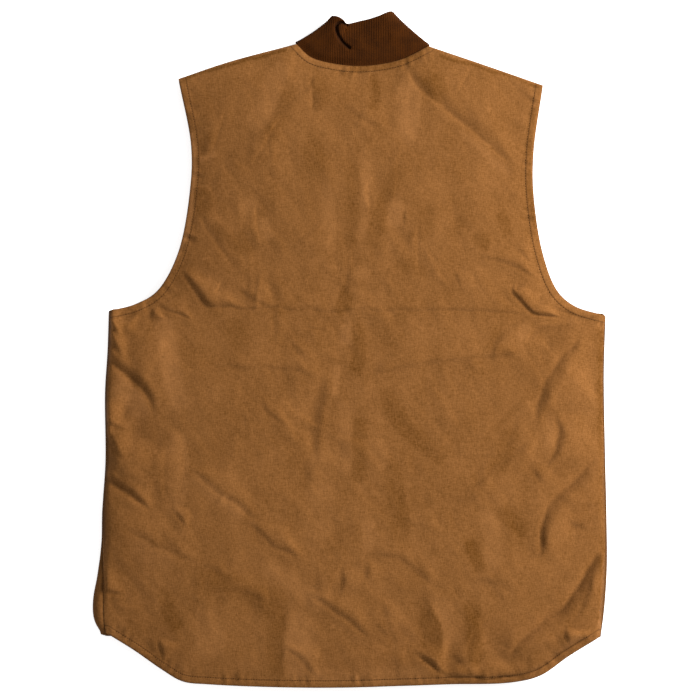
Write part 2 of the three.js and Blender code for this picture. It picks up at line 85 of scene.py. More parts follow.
# Section sizes shared with the part's source
SEAM_HEIGHT = 12.5
EDGE_HEIGHT = 17.5
ROLL_WIDTH = 9
CROWN_RISE = 18
CROWN_REACH = 70
EDGE_DROOP = 1.5
DROOP_REACH = 14
SEAM_GAP = 0.3
FRONT_SCOOP = 14
FRONT_HEM_INSET = 2.5
ZIP_WIDTH = 24
ZIP_BOTTOM = -391
ZIP_TOP = 324
AXIS_X_AT_ORIGIN = 8.8
AXIS_LEAN = 0.0162
ARMPIT_ALONG = 0.52
LEFT_NECK_ALONG = 0.33
RIGHT_NECK_ALONG = 0.67
FRONT_NECK_ALONG = 0.8

# Lift of a side seam as a share of its peek, more than in the part's source, so that the edge lies
# flatter, and the reach in which a seam holds the relief down
PEEK_LIFT = 0.32
SEAM_HOLD = 5

# A front's hem inset is full after one part in so many of its width; points that find the zip's hem end
FRONT_HEM_EASE = 6
HEM_SAMPLES = 2001

# The picture's frame: a square of points, the real width of one point on the vest in millimetres, and
# the steps in which a route runs from point to point
PICTURE_SIDE = 700
POINT_PITCH = 1.17
ROUTE_STEPS = 8

# Folds of the back. Routes are picture points along the crease. On the left of its route the cloth
# rises from the crease to the given depth at the given width, both in millimetres, and sinks slowly
# after that; rim is the height, as a share, of a low lip on the right. A negative depth makes the
# crease a crest from which the cloth falls to the left.
Fold = namedtuple("Fold", "name depth width rim route")
FOLDS = (
    Fold("left edge upper", 3.2, 7, 0, ((109, 312), (106, 360), (104, 400), (106, 440))),
    Fold("left edge middle", 6, 16, 0, ((106, 425), (107, 450), (106, 475), (104, 490))),
    Fold("left edge lower", 4.6, 18, 0, ((104, 480), (103, 515), (102, 545), (103, 570))),
    Fold("left armpit", 3.5, 8.5, 0.1,
         ((180, 267), (187, 279), (195, 291), (203, 302), (213, 307), (228, 307), (247, 310))),
    Fold("chest line", 1, 5, 0.2,
         ((236, 309), (262, 308), (300, 309), (338, 312), (360, 308), (375, 311), (400, 310), (440, 310),
          (478, 311), (522, 314))),
    Fold("left armpit branch", 1.5, 6, 0.2, ((236, 286), (246, 294), (260, 303), (273, 310))),
    Fold("left underarm", 1.6, 5, 0.2, ((158, 296), (162, 306), (175, 313), (194, 321))),
    Fold("left band pucker", 2, 4, 0.2, ((140, 310), (126, 319), (111, 327))),
    Fold("left band tuck", 1, 4, 0.2, ((124, 305), (130, 310), (137, 314))),
    Fold("left band nick", 2.6, 5, 0.2, ((155, 303), (151, 311), (148, 321))),
    Fold("left blade", 1.2, 10, 0.5, ((196, 210), (204, 224), (215, 242), (233, 263))),
    Fold("right armpit", 3.6, 6, 0.2,
         ((514, 281), (511, 289), (517, 298), (524, 307), (533, 314), (546, 315), (561, 318))),
    Fold("right underarm", 1.3, 5, 0.2, ((533, 300), (553, 308), (575, 316), (598, 319))),
    Fold("right underarm low", -3, 9, 0.2, ((574, 322), (556, 323), (540, 325), (529, 332), (521, 343))),
    Fold("right blade", 1.8, 6, 0.3, ((478, 255), (500, 262), (517, 268), (539, 280))),
    Fold("right blade tick", 1.8, 5, 0.2, ((512, 246), (522, 253), (530, 262))),
    Fold("left waist", 1.4, 6, 0.2, ((216, 366), (245, 369), (275, 369), (300, 372), (322, 380))),
    Fold("waist drop", -2.2, 12, 0, ((316, 462), (321, 425), (326, 390), (325, 370))),
    Fold("right waist", 1.8, 5, 0.2,
         ((370, 373), (400, 369), (430, 363), (465, 360), (500, 356), (520, 352))),
    Fold("right waist tick", 1, 5, 0.2, ((461, 365), (484, 374))),
    Fold("left waist hook", 1.4, 7, 0.2, ((258, 391), (264, 408), (274, 418), (290, 430))),
    Fold("left rib a", 4, 6, 0.1, ((90, 306), (106, 322), (113, 329), (122, 338))),
    Fold("left rib b", 3.2, 8, 0.1, ((90, 318), (105, 336), (112, 345), (124, 360))),
    Fold("left rib", 3.8, 15, 0.3,
         ((88, 344), (107, 360), (118, 369), (130, 378), (141, 388), (150, 401), (155, 420))),
    Fold("left rib c", 4.5, 8, 0.1, ((86, 412), (104, 421), (113, 425), (126, 430))),
    Fold("left rib d", 3, 9, 0.1, ((90, 420), (104, 436), (113, 447), (126, 462))),
    Fold("left rib face", 2, 21, 0, ((176, 510), (182, 484), (184, 448), (174, 420))),
    Fold("left flank", 4, 11, 0.3, ((88, 470), (104, 479), (118, 487), (132, 496), (153, 513))),
    Fold("left seat", 1.2, 12, 0.3, ((119, 524), (140, 537), (160, 547), (182, 558), (206, 567))),
    Fold("left seat crest", -1, 18, 0, ((296, 609), (270, 592), (245, 582), (225, 574), (200, 564))),
    Fold("left seat line", 1, 4, 0, ((200, 564), (213, 567), (228, 576))),
    Fold("left back", 1.8, 7, 0.5, ((186, 465), (205, 482), (222, 495), (240, 507), (257, 522))),
    Fold("left back low", 2, 7, 0.3, ((246, 518), (262, 535), (276, 547), (290, 553), (305, 560))),
    Fold("left back tick", 2, 4, 0.3, ((169, 506), (178, 516), (188, 530))),
    Fold("left seat drop", -1.2, 18, 0, ((284, 684), (285, 645), (289, 612), (296, 596))),
    Fold("left hem dent", 2.4, 6, 0.2, ((158, 634), (158, 646), (164, 662))),
    Fold("left corner", 2.6, 7, 0.3, ((84, 592), (100, 592), (112, 593), (127, 595))),
    Fold("hem left tuck", 2, 6, 0.3, ((282, 644), (298, 658), (318, 679))),
    Fold("right rib", 5, 16, 0.2,
         ((583, 330), (572, 346), (556, 364), (545, 382), (537, 402), (534, 430))),
    Fold("right flank", 4.4, 11, 0.2, ((554, 410), (558, 428), (555, 447), (543, 470))),
    Fold("right hip", 5.4, 14.5, 0.2,
         ((650, 414), (616, 446), (600, 458), (588, 467), (574, 480), (558, 494), (546, 508), (541, 530),
          (539, 564))),
    Fold("right back slant", 1.6, 7, 0.3, ((536, 432), (510, 455), (480, 478), (452, 500))),
    Fold("right hip tick", 2, 6, 0.2, ((529, 464), (535, 474), (546, 487))),
    Fold("right seat", 1.4, 6, 0.2, ((548, 555), (530, 557), (505, 565), (470, 577))),
    Fold("right corner", 7.4, 17, 0.3,
         ((650, 484), (616, 530), (603, 547), (590, 564), (570, 597), (557, 610), (543, 621), (528, 634),
          (515, 646), (502, 662))),
    Fold("right corner branch", 2.6, 9, 0, ((592, 568), (587, 590), (580, 606), (572, 622))),
    Fold("right corner tick a", 4.5, 7, 0.2, ((566, 622), (564, 634), (572, 648))),
    Fold("hem right", 3.4, 5, 0.3,
         ((440, 675), (480, 678), (505, 677), (532, 671), (558, 653), (580, 641), (598, 632))),
    Fold("hem centre", 5, 8, 0.3, ((410, 650), (422, 658), (432, 666), (448, 677))),
    Fold("hem centre tuck", 2, 9, 0.2, ((444, 652), (458, 663), (476, 678))),
    Fold("hem centre tick", 0.4, 6, 0.2, ((384, 652), (400, 666), (420, 678))),
    Fold("seat centre crest", -1.8, 22, 0, ((447, 672), (441, 640), (431, 606), (416, 578))),
    Fold("seat centre", 2.1, 8, 0.5,
         ((306, 592), (318, 600), (332, 609), (345, 618), (356, 628), (372, 640))),
    Fold("seat centre tick", 1.6, 6, 0.3, ((370, 620), (380, 630), (392, 642))),
    Fold("seat arc", 1.6, 7, 0.2, ((370, 553), (395, 557), (411, 567), (425, 578), (438, 586))),
    Fold("seat pucker a", 2.4, 7, 0.1, ((341, 562), (342, 578), (338, 598))),
    Fold("seat pucker b", 2, 6, 0.2, ((364, 554), (364, 570), (361, 586))),
    Fold("right shoulder", 2.6, 15, 0.4,
         ((404, 62), (419, 87), (437, 103), (456, 117), (476, 133), (495, 150), (514, 166))),
    Fold("right chest arc", 2, 8, 0.1, ((522, 320), (505, 331), (493, 344), (489, 360))),
    Fold("left neck", 1.8, 14, 0.35, ((311, 64), (311, 88), (312, 118))),
)

# Tone marks of the washed cloth, partly painted light and shade: pale where the nap is rubbed, dark where
# it is not, and the painted light and shade of creases too low to model, many of them beside modelled
# folds.
# Routes are picture points. Along its route a mark shifts the yarns towards the pale colour (towards the
# dark one where the shade is negative); it fades over its width, in millimetres, on the left of the
# route, and over the given share of that width on the right.
Mark = namedtuple("Mark", "name shade width edge route")
MARKS = (
    Mark("neck band", 0.2, 6, 1, ((297, 51), (310, 61), (329, 67), (350, 69))),
    Mark("neck band right", -0.4, 6, 1, ((344, 69), (356, 69), (382, 67), (402, 62), (425, 50))),
    Mark("left shoulder edge", -0.7, 3, 1, ((181, 79), (230, 64), (288, 49))),
    Mark("right shoulder edge", -0.6, 3, 1, ((438, 55), (490, 70), (540, 86))),
    Mark("left armhole band", 1.2, 4.5, 1,
         ((190, 130), (193, 165), (191, 200), (185, 235), (173, 262), (158, 285))),
    Mark("right armhole band", -0.35, 5, 1, ((533, 105), (529, 135), (528, 165), (530, 200), (535, 230))),
    Mark("left shoulder light", 0.35, 16, 1, ((288, 60), (273, 84), (265, 108), (246, 130))),
    Mark("left shoulder dark", -0.25, 14, 1, ((291, 86), (283, 110), (268, 140))),
    Mark("neck crease dark", -0.3, 26, 0.1, ((312, 68), (313, 92), (314, 116))),
    Mark("left spine dark", -0.28, 30, 0.15, ((320, 184), (324, 165), (319, 146), (310, 124))),
    Mark("left spine light", 0.3, 17, 0.3, ((331, 256), (333, 220), (327, 178))),
    Mark("left armhole dark", -0.25, 9, 1, ((196, 149), (206, 141), (218, 135))),
    Mark("left armhole light", 0.5, 5, 1, ((197, 161), (208, 157), (217, 151))),
    Mark("left blade dark", -0.4, 25, 0.15, ((197, 180), (197, 200), (203, 224))),
    Mark("left blade shade", -0.25, 16, 0.4, ((210, 224), (232, 244), (258, 252))),
    Mark("left chest light", 0.3, 15, 1, ((240, 196), (256, 216))),
    Mark("left chest light low", 0.5, 10, 1, ((261, 216), (270, 242))),
    Mark("left chest dark low", -0.25, 26, 0.5, ((252, 352), (234, 327), (214, 330))),
    Mark("neck dark", -0.5, 9, 0.7, ((372, 72), (375, 95), (370, 112))),
    Mark("neck light right", 0.55, 32, 0.15, ((410, 154), (416, 125), (417, 95), (409, 66))),
    Mark("right shoulder dark", -0.45, 28, 0.15, ((417, 68), (428, 90), (446, 108))),
    Mark("right shoulder light", 0.35, 8, 0.5, ((458, 132), (482, 152), (510, 178))),
    Mark("spine light", 0.32, 10, 1, ((365, 146), (366, 180), (362, 215), (360, 244))),
    Mark("spine dark", -0.3, 20, 0.2, ((355, 252), (358, 210), (356, 160))),
    Mark("spine slant dark", -0.3, 16, 0.6, ((400, 162), (386, 190), (376, 220), (364, 252))),
    Mark("right spine light", 0.6, 13, 1, ((397, 196), (392, 230))),
    Mark("right blade dark", -0.25, 15, 1, ((424, 202), (426, 242))),
    Mark("right blade dark low", -0.25, 10, 1, ((464, 212), (447, 242))),
    Mark("right blade spot", -0.35, 10, 1, ((498, 210), (509, 240))),
    Mark("right blade side", -0.4, 12, 1, ((484, 228), (480, 252))),
    Mark("chest patch dark", -0.25, 13, 0.5, ((392, 266), (408, 268), (427, 276))),
    Mark("chest patch light", 0.4, 13, 1, ((362, 262), (360, 282))),
    Mark("spine block", -0.6, 22, 0.1, ((345, 280), (338, 300), (336, 320))),
    Mark("spine block light", 0.6, 10, 1, ((347, 320), (345, 347))),
    Mark("waist light", 0.6, 8, 0.5, ((336, 362), (332, 397))),
    Mark("left rib light", 0.55, 16, 1, ((162, 312), (168, 350), (174, 385), (183, 414))),
    Mark("left rib below", 0.6, 26, 0.2, ((153, 419), (138, 397), (113, 371))),
    Mark("left rib face light", 0.35, 27, 0.1, ((178, 524), (185, 490), (187, 450), (177, 422))),
    Mark("waist centre dark", -0.4, 10, 1, ((356, 320), (359, 350), (355, 378))),
    Mark("waist slant dark", -0.4, 21, 0.3, ((378, 384), (392, 418), (412, 440), (447, 467))),
    Mark("centre dark", -0.45, 17, 0.4, ((357, 412), (356, 445), (356, 486))),
    Mark("centre light left", 0.3, 13, 1, ((345, 396), (343, 474))),
    Mark("centre light right", 0.2, 12, 0.6, ((379, 436), (382, 486))),
    Mark("left hip light", 0.25, 22, 1, ((322, 440), (320, 490), (318, 545))),
    Mark("right chest light", 0.28, 11, 1, ((530, 322), (516, 342))),
    Mark("right chest arc", -0.25, 9, 1, ((503, 328), (491, 345), (518, 353))),
    Mark("right flank dark", -0.35, 15, 1, ((511, 424), (504, 450), (490, 478))),
    Mark("right flank line", -0.25, 7, 0.5, ((526, 392), (508, 414), (488, 431))),
    Mark("right rib light", 0.3, 11, 0.5, ((548, 410), (548, 450))),
    Mark("left seat light", 0.4, 28, 0.15, ((184, 562), (150, 545), (126, 533))),
    Mark("left seat dark", -0.25, 40, 0.08, ((294, 610), (284, 594), (250, 582), (222, 573), (186, 563))),
    Mark("left seat drop", -0.28, 28, 0.12, ((284, 684), (284, 640), (289, 600))),
    Mark("left seat pale", 0.3, 24, 1, ((204, 600), (210, 664))),
    Mark("left hem shade", -0.4, 17, 0.5, ((161, 584), (166, 612), (178, 636))),
    Mark("left back light", 0.45, 19, 0.15, ((250, 514), (220, 491), (190, 468))),
    Mark("seat light", 0.5, 42, 0.1, ((290, 596), (286, 640), (286, 684))),
    Mark("seat light slant", 0.35, 20, 0.5, ((258, 563), (290, 584), (325, 614))),
    Mark("seat block light", 0.45, 11, 0.6, ((366, 516), (366, 554))),
    Mark("seat block dark", -0.35, 30, 0.1, ((409, 558), (407, 520), (401, 480), (391, 452))),
    Mark("right seat light", 0.4, 27, 0.2, ((476, 504), (486, 540), (484, 576))),
    Mark("right seat spot", -0.55, 11, 1, ((466, 536), (474, 555), (482, 573))),
    Mark("right seat shade", -0.5, 24, 0.1, ((488, 506), (506, 524), (526, 542))),
    Mark("seat crest dark", -0.4, 34, 0.12, ((441, 660), (438, 630), (427, 598))),
    Mark("seat crest light", 0.38, 24, 0.1, ((428, 592), (440, 620), (445, 654))),
    Mark("right edge", -0.6, 9, 1, ((604, 326), (602, 400), (604, 470), (605, 560), (602, 622))),
    Mark("seat right dark", -0.5, 17, 0.6, ((469, 596), (470, 630), (474, 668))),
    Mark("hem light", 0.4, 12, 1, ((286, 673), (340, 676), (432, 675))),
)

# Shape of marks and folds, mostly as shares of their width: fade at the ends, a mark's even core, the
# width left at a tip, the reach of a bank, the share and the length of uneven depth, and a lip's width
MARK_FADE = 0.7
MARK_CORE = 0.4
FOLD_FADE = 1.8
FOLD_TIP = 0.3
FOLD_REACH = 5
FOLD_UNEVEN = 0.1
FOLD_WAVE = 1.5
RIM_WIDTH = 0.5

# Wander of the routes: size and wavelengths in millimetres, and number of waves
WANDER = 0.6
WANDER_WAVES = (22, 48)
WANDER_COUNT = 14

# Fine creases: number, ranges of picture points, and sizes in points (lengths) and millimetres
CREASE_SEED = 3
CREASE_COUNT = 110
CREASE_COLUMNS = (110, 600)
CREASE_ROWS = (70, 670)
CREASE_HALF_LENGTHS = (12, 34)
CREASE_BOW = 0.08
CREASE_DEPTHS = (0.4, 1.0)
CREASE_WIDTHS = (4, 9)
CREASE_RIM = 0.3

# Soft unevenness of washed canvas: wavelengths in millimetres, share of the mottle height (negative for
# crests instead of creases), and number of waves; few waves give long lines, many give a soft grain.
# The waves run mostly across the body, and the level is the mean height of a creased field.
MOTTLE_SEED = 11
MOTTLE_TURN = 0.2
MOTTLE_SPREAD = 0.75
CREASE_ROUNDING = 0.12
MOTTLE_LEVEL = 0.8
Mottle = namedtuple("Mottle", "shortest longest share waves creased")
MOTTLES = (
    Mottle(90, 200, 1.2, 7, True),
    Mottle(50, 100, -0.9, 8, True),
    Mottle(24, 45, 0.4, 10, True),
    Mottle(12, 22, 0.12, 30, False),
)

# Topstitched edges, in millimetres: height and step of the doubled band, puckers along its stitch row in
# groups, and the rounding of the rim
BAND_RISE = 0.6
BAND_STEP = 4
PUCKER_SEED = 5
PUCKER_WAVES = (9, 12.5, 17, 26)
PUCKER_GROUP = 75
PUCKER_REACH = 7
PUCKER_SLANT = 0.4
EDGE_ROUNDING = 1.1
EDGE_POWER = 1.5

# Bend, per millimetre, of a full hollow, which the canvas darkens with painted shade, and a distance that
# is far from every stitch row
HOLLOW_BEND = 0.25
FAR_FROM_ROW = 99.0

# Painted shade of the rolled side edges: its strength as a crease, the share that it loses where the roll
# faces up, and its reach, lower end and fade on the back's left edge
ROLL_SHADE = 2.0
ROLL_LIT_SHARE = 0.6
SEAM_SHADE_REACH = 5
SEAM_SHADE_END = -255
SEAM_SHADE_FADE = 50

# Grids of the panels: steps in millimetres from an edge, with even steps in between, counts of rows and
# columns, and close rows in the last share of a front; the block is the work that nearest does at once
EDGE_STEPS = (0, 0.5, 1.2, 2.2, 3.6, 5.2, 6.8, 8.4, 10.2, 12.4)
BACK_LENGTH = 720
BACK_COLUMNS = 241
BACK_ROWS = 309
FRONT_COLUMNS = 81
FRONT_ROWS = 181
FRONT_TOP_ROWS = 10
FRONT_TOP_SHARE = 0.01
NEAREST_BLOCK = 3_000_000

# Collar stations from the left end at the zip round the back to the right end: neckline, share along
# it, and the place of the top edge
Station = namedtuple("Station", "neckline along x y z")
COLLAR = (
    Station("left front", 0, 2, 324, 2.7), Station("left front", 0.28, -5, 332, 2.7),
    Station("left front", 0.56, -12, 349, 2.7), Station("left front", 0.8, -18, 369, 2.7),
    Station("left front", 0.93, -20.4, 383, 3), Station("back", 0, -20.2, 390, 11),
    Station("back", 0.07, -17, 391, 15.5), Station("back", 0.14, -12.4, 389.6, 17.5),
    Station("back", 0.2, -7.4, 386, 18.5), Station("back", 0.25, -4.6, 382.4, 17.5),
    Station("back", 0.3, -3.6, 382.2, 15.5), Station("back", 0.37, -0.5, 382.3, 14.6),
    Station("back", 0.48, 10, 384.8, 14.5), Station("back", 0.62, 23, 387.8, 15.5),
    Station("back", 0.76, 34, 391.4, 16.5), Station("back", 0.87, 41, 394.6, 16.5),
    Station("back", 0.95, 45.6, 396.2, 14), Station("back", 1, 48.4, 395.4, 9),
    Station("right front", 0.93, 49, 388, 3), Station("right front", 0.8, 47, 372, 2.7),
    Station("right front", 0.56, 41, 350, 2.7), Station("right front", 0.28, 33.5, 332, 2.7),
    Station("right front", 0, 26, 324, 2.7),
)

# Section of the collar, in millimetres: bulge, place on the floor, tuck under the back's canvas, waist at
# each side, thin seam, rounded lip, and fades of the ribs and the slit towards the edges
COLLAR_BULGE = 1.0
COLLAR_FLOOR = 0.8
FLOOR_CLEARANCE = 0.02
COLLAR_GAP = 0.4
COLLAR_TUCK = 4
COLLAR_TUCK_REACH = 22
COLLAR_TUCK_DROP = 0.5
COLLAR_WAIST_LEFT = 4.6
COLLAR_WAIST_RIGHT = 2.3
COLLAR_SEAM_HALF = 0.5
COLLAR_SEAM_REACH = 10
COLLAR_COLUMNS_PER_SPAN = 32
COLLAR_ROWS = 61
COLLAR_LIP_ROWS = (0.988, 0.993, 0.997, 0.9993, 1)
COLLAR_LIP = 0.15
RIB_TOP_FADE = 3
RIB_SEAM_FADE = 1.5
SLIT_TOP_FADE = 1.5

# Buckle of the collar: a deep slit under the left lobe, and folds beside it
COLLAR_SLIT = Fold("slit", 4, 1.7, 0, (
    (346, 24), (341, 22), (337, 23.6), (335.9, 27), (336.6, 31.5), (338.8, 37), (342.6, 42), (348.6, 47)))
COLLAR_FOLDS = (
    Fold("slit lip", 0.9, 5, 0, ((350, 47), (344.5, 40), (340.5, 33), (338.5, 27))),
    Fold("slit tail", 0.7, 5, 0.2, ((346, 46), (356, 50), (370, 51))),
    Fold("right dent", 0.8, 6, 0.2, ((388, 28), (387, 44))),
)

# Topstitches: start, middle and end as shares of the pitch, rings as shares of the run, the step that
# finds the direction, the margin at an edge's ends in times the row's distance, bow in radii, and sides
STITCH_ENDS = (0.12, 0.5, 0.88)
STITCH_RINGS = (0.18, 0.5, 0.82)
STITCH_STEP = 0.002
STITCH_MARGIN = 1.1
STITCH_BOW = 0.5
STITCH_SIDES = 6

# Section of the zip's tapes from the middle outwards, its thin outer edge, and its moulded teeth, in
# millimetres
TapePoint = namedtuple("TapePoint", "across height")
ZIP_SECTION = (
    TapePoint(0, 1.3), TapePoint(2.4, 1.6), TapePoint(3.4, 1.6), TapePoint(4.4, 1.3), TapePoint(7, 1.3),
)
ZIP_ROWS = 121
TAPE_HEIGHT = 1.3
TAPE_EDGE_HEIGHT = 0.7
TAPE_EDGE_WIDTH = 0.6
TOOTH_SIZE = (4.2, 1.25, 1.3)
TOOTH_BEVEL = 0.3
TOOTH_PITCH = 3.0
TOOTH_OFFSET = 0.9
TOOTH_HEIGHT = 2.3
TOOTH_MARGIN = 4

# Studio, in metres: floor with its drop below the vest, own glow and clouds, key light, and camera with
# its sensor in millimetres
FLOOR_SIZE = 12
FLOOR_DROP = 0.0006
FLOOR_GLOW = 0.72
FLOOR_CLOUD = 1 / 3
KEY_SIZE = 1.4
KEY_PLACE = (2.95, 1.2, 1.98)
KEY_TINT = (1, 0.98, 0.95)
SENSOR_WIDTH = 36
FARTHEST_VIEW = 50


def measure(name, description, default):
    """A length property with its default in metres."""
    return FloatProperty(name=name, description=description, default=default, unit="LENGTH")


class VestSizes(bpy.types.PropertyGroup):
    """Sizes of the vest's cloth and sewing"""

    canvas_wall: measure("Canvas wall", "Thickness of the doubled canvas", 0.0022)
    collar_wall: measure("Collar wall", "Thickness of the doubled rib knit", 0.0044)
    turned_edge: measure("Turned edge", "Stitch row to edge at hem and armholes", 0.0085)
    neck_edge: measure("Neck edge", "Stitch row to seam at the neckline", 0.0072)
    stitch_pitch: measure("Stitch pitch", "Spacing of the topstitches", 0.003)
    stitch_width: measure("Stitch width", "Thickness of the sewing thread", 0.0008)
    fold_gain: FloatProperty(
        name="Fold gain", description="Factor on the depth of all folds", default=1.15)
    mottle: measure("Mottle", "Height of the soft unevenness", 0.0004)
    pucker: measure("Pucker", "Height of the puckers along the stitch rows", 0.0004)
    rib_pitch: measure("Rib pitch", "Spacing of the collar's knitted ribs", 0.002)
    rib_depth: measure("Rib depth", "Depth between the collar's ribs", 0.0005)


def linear(hex_colour):
    """An sRGB hex colour as linear red, green and blue."""
    channels = [int(hex_colour[k:k + 2], 16) / 255 for k in (0, 2, 4)]
    return [c / 12.92 if c <= 0.04045 else ((c + 0.055) / 1.055) ** 2.4 for c in channels]


def colour(name, description, hex_colour):
    """A colour property with its default."""
    return FloatVectorProperty(
        name=name, description=description, default=linear(hex_colour), subtype="COLOR", min=0, max=1)


class VestColours(bpy.types.PropertyGroup):
    """Colours of the vest's materials"""

    # The dark and the pale yarn colours; the tone marks, partly painted light and shade, shift the cloth
    # towards and past them
    canvas: colour("Canvas", "Darker yarns of the brown duck canvas", "5f3b15")
    canvas_faded_and_painted_light: colour("Faded canvas", "Yarns that have rubbed pale", "83572e")
    # Painted shade: the colour that the canvas darkens to in hollows, on the rolled edges and along the
    # stitch rows
    canvas_painted_shade: colour("Deep canvas", "In creases and under rolled edges", "40270f")
    knit: colour("Rib knit", "Dark brown collar", "412005")
    # Painted shade between the ribs and in the slit, and the dark end of the loops' grain
    knit_shade_and_dark_loops: colour("Deep knit", "Between the ribs", "251104")
    thread: colour("Thread", "Topstitching", "5a3817")
    tape: colour("Zip tape", "Woven tape", "4a3520")
    teeth: colour("Zip teeth", "Moulded teeth", "3a2b1c")
    floor: colour("Floor", "Pale studio floor", "f4f4f4")


class VestStudio(bpy.types.PropertyGroup):
    """Light and camera"""

    key_power: FloatProperty(
        name="Key power", description="Soft light from the upper right", default=309, unit="POWER")
    fill: FloatProperty(name="Fill", description="Even light from all round", default=0.44)
    lens: FloatProperty(
        name="Lens", description="Focal length of the camera", default=200, unit="CAMERA")


def mm(length):
    """Metres to millimetres."""
    return length / MM


# Plan curves

class Line:
    """A polyline that is read by its arc length."""

    def __init__(self, points):
        self.points = np.array(points, float)
        steps = np.linalg.norm(np.diff(self.points, axis=0), axis=1)
        self.reach = np.concatenate([[0], np.cumsum(steps)])
        self.length = self.reach[-1]

    def at(self, share):
        """Places at shares of the length."""
        along = np.clip(share, 0, 1) * self.length
        return np.stack([np.interp(along, self.reach, axis) for axis in self.points.T], -1)


def smooth_points(rows, per_span=24):
    """Points of a centripetal curve through the rows."""
    rows = np.array(rows, float)
    points = np.vstack([2 * rows[0] - rows[1], rows, 2 * rows[-1] - rows[-2]])
    gaps = np.linalg.norm(np.diff(points, axis=0), axis=1) ** 0.5
    share = np.linspace(0, 1, per_span, endpoint=False)[:, None]
    spans = []
    for k in range(len(rows) - 1):
        before, here, there, after = points[k:k + 4]
        first, middle, last = gaps[k:k + 3]
        chord = (there - here) / middle
        leave = middle * ((here - before) / first - (there - before) / (first + middle) + chord)
        reach = middle * (chord - (after - here) / (middle + last) + (after - there) / last)
        square = 3 * (there - here) - 2 * leave - reach
        cube = 2 * (here - there) + leave + reach
        spans.append(here + leave * share + square * share ** 2 + cube * share ** 3)
    return np.vstack([*spans, rows[-1:]])


def smooth_line(rows, per_span=24):
    """A smooth line through table rows."""
    return Line(smooth_points(rows, per_span))


def joined(lines, breaks):
    """Lines end to end as one function of 0 to 1, with corners at the breaks."""
    def at(share):
        share = np.asarray(share, float)
        places = np.zeros(share.shape + (2,))
        for line, low, high in zip(lines, breaks, breaks[1:]):
            inside = (share >= low) & (share <= high)
            places[inside] = line.at((share[inside] - low) / (high - low))[:, :2]
        return places
    return at


def sampled(rail, count=240):
    """A rail function as a line."""
    return Line(rail(np.linspace(0, 1, count + 1)))


left_side = smooth_line(LEFT_SIDE)
right_side = smooth_line(RIGHT_SIDE)
left_armhole = smooth_line(LEFT_ARMHOLE)
right_armhole = smooth_line(RIGHT_ARMHOLE)
left_shoulder = smooth_line(LEFT_SHOULDER)
right_shoulder = smooth_line(RIGHT_SHOULDER)
back_neckline = smooth_line(BACK_NECKLINE)
hem = smooth_line(HEM)
left_rail = joined([left_side, left_armhole], [0, ARMPIT_ALONG, 1])
right_rail = joined([right_side, right_armhole], [0, ARMPIT_ALONG, 1])
top_rail = joined([left_shoulder, back_neckline, right_shoulder],
                  [0, LEFT_NECK_ALONG, RIGHT_NECK_ALONG, 1])
hem_rail = joined([hem], [0, 1])

# Sewn edges, with the side of the line on which the outside lies
SEWN_EDGES = ((left_side, 1), (right_side, -1), (left_shoulder, 1), (right_shoulder, 1))


def open_edges(sizes):
    """Open edges: line, side on which the inside lies, and distance of the stitch row."""
    turned, neck = mm(sizes.turned_edge), mm(sizes.neck_edge)
    return ((hem, 1, turned), (left_armhole, -1, turned), (right_armhole, 1, turned),
            (back_neckline, -1, neck))


Near = namedtuple("Near", "distance along side z out_x out_y")


def nearest(x, y, line):
    """Nearest place of a line to each plan point: distance, run along it, side, height and normal."""
    starts = line.points[:-1, :2]
    runs = np.diff(line.points[:, :2], axis=0)
    squares = (runs ** 2).sum(1)
    heights = line.points[:, 2] if line.points.shape[1] > 2 else np.zeros(len(line.points))
    found = []
    for part in np.array_split(np.arange(x.size), x.size * len(starts) // NEAREST_BLOCK + 1):
        gap_x = x.flat[part][:, None] - starts[:, 0]
        gap_y = y.flat[part][:, None] - starts[:, 1]
        share = np.clip((gap_x * runs[:, 0] + gap_y * runs[:, 1]) / squares, 0, 1)
        far = (gap_x - share * runs[:, 0]) ** 2 + (gap_y - share * runs[:, 1]) ** 2
        best = far.argmin(1)
        pick = (np.arange(len(part)), best)
        share = share[pick]
        run = runs[best]
        length = np.sqrt(squares[best])
        side = np.sign(run[:, 0] * gap_y[pick] - run[:, 1] * gap_x[pick])
        height = heights[best] + share * (heights[best + 1] - heights[best])
        along = line.reach[best] + share * (line.reach[best + 1] - line.reach[best])
        found.append(np.stack([np.sqrt(far[pick]), along, side, height,
                               -run[:, 1] / length, run[:, 0] / length]))
    return Near(*[column.reshape(x.shape) for column in np.concatenate(found, axis=1)])


def nearest_seam(x, y):
    """Distance to the nearest sewn edge, its peek, and its outward direction."""
    distance = np.full(x.shape, np.inf)
    peek, out_x, out_y = np.zeros(x.shape), np.zeros(x.shape), np.zeros(x.shape)
    for line, turn in SEWN_EDGES:
        near = nearest(x, y, line)
        closer = near.distance < distance
        distance[closer] = near.distance[closer]
        peek[closer] = np.maximum(near.z, 0)[closer]
        out_x[closer] = turn * near.out_x[closer]
        out_y[closer] = turn * near.out_y[closer]
    return distance, peek, out_x, out_y


def smoothstep(value):
    """A soft step from 0 to 1."""
    value = np.clip(value, 0, 1)
    return value * value * (3 - 2 * value)


# Relief of the cloth

def picture_route(row):
    """The route of a fold or mark as a line in millimetres."""
    middle = (PICTURE_SIDE - 1) / 2
    points = [((across - middle) * POINT_PITCH, (middle - down) * POINT_PITCH)
              for across, down in row.route]
    return smooth_line(points, ROUTE_STEPS)


def close_to(x, y, line, reach):
    """Which plan points lie in a line's box, widened by a reach."""
    low = line.points.min(0) - reach
    high = line.points.max(0) + reach
    return (x > low[0]) & (x < high[0]) & (y > low[1]) & (y < high[1])


def crease_section(across, rim):
    """Height of a fold across its crease, for distances in widths: a bank that levels off at one width
    and sinks slowly, and a low lip before it."""
    rise = np.sin(math.pi / 2 * np.clip(across, 0, 1))
    sink = 0.5 + 0.5 * np.cos(math.pi * np.clip((across - 1) / (FOLD_REACH - 1), 0, 1))
    toe = np.maximum(-across / RIM_WIDTH, 0)
    return rise * sink + rim * toe * np.exp(1 - toe)


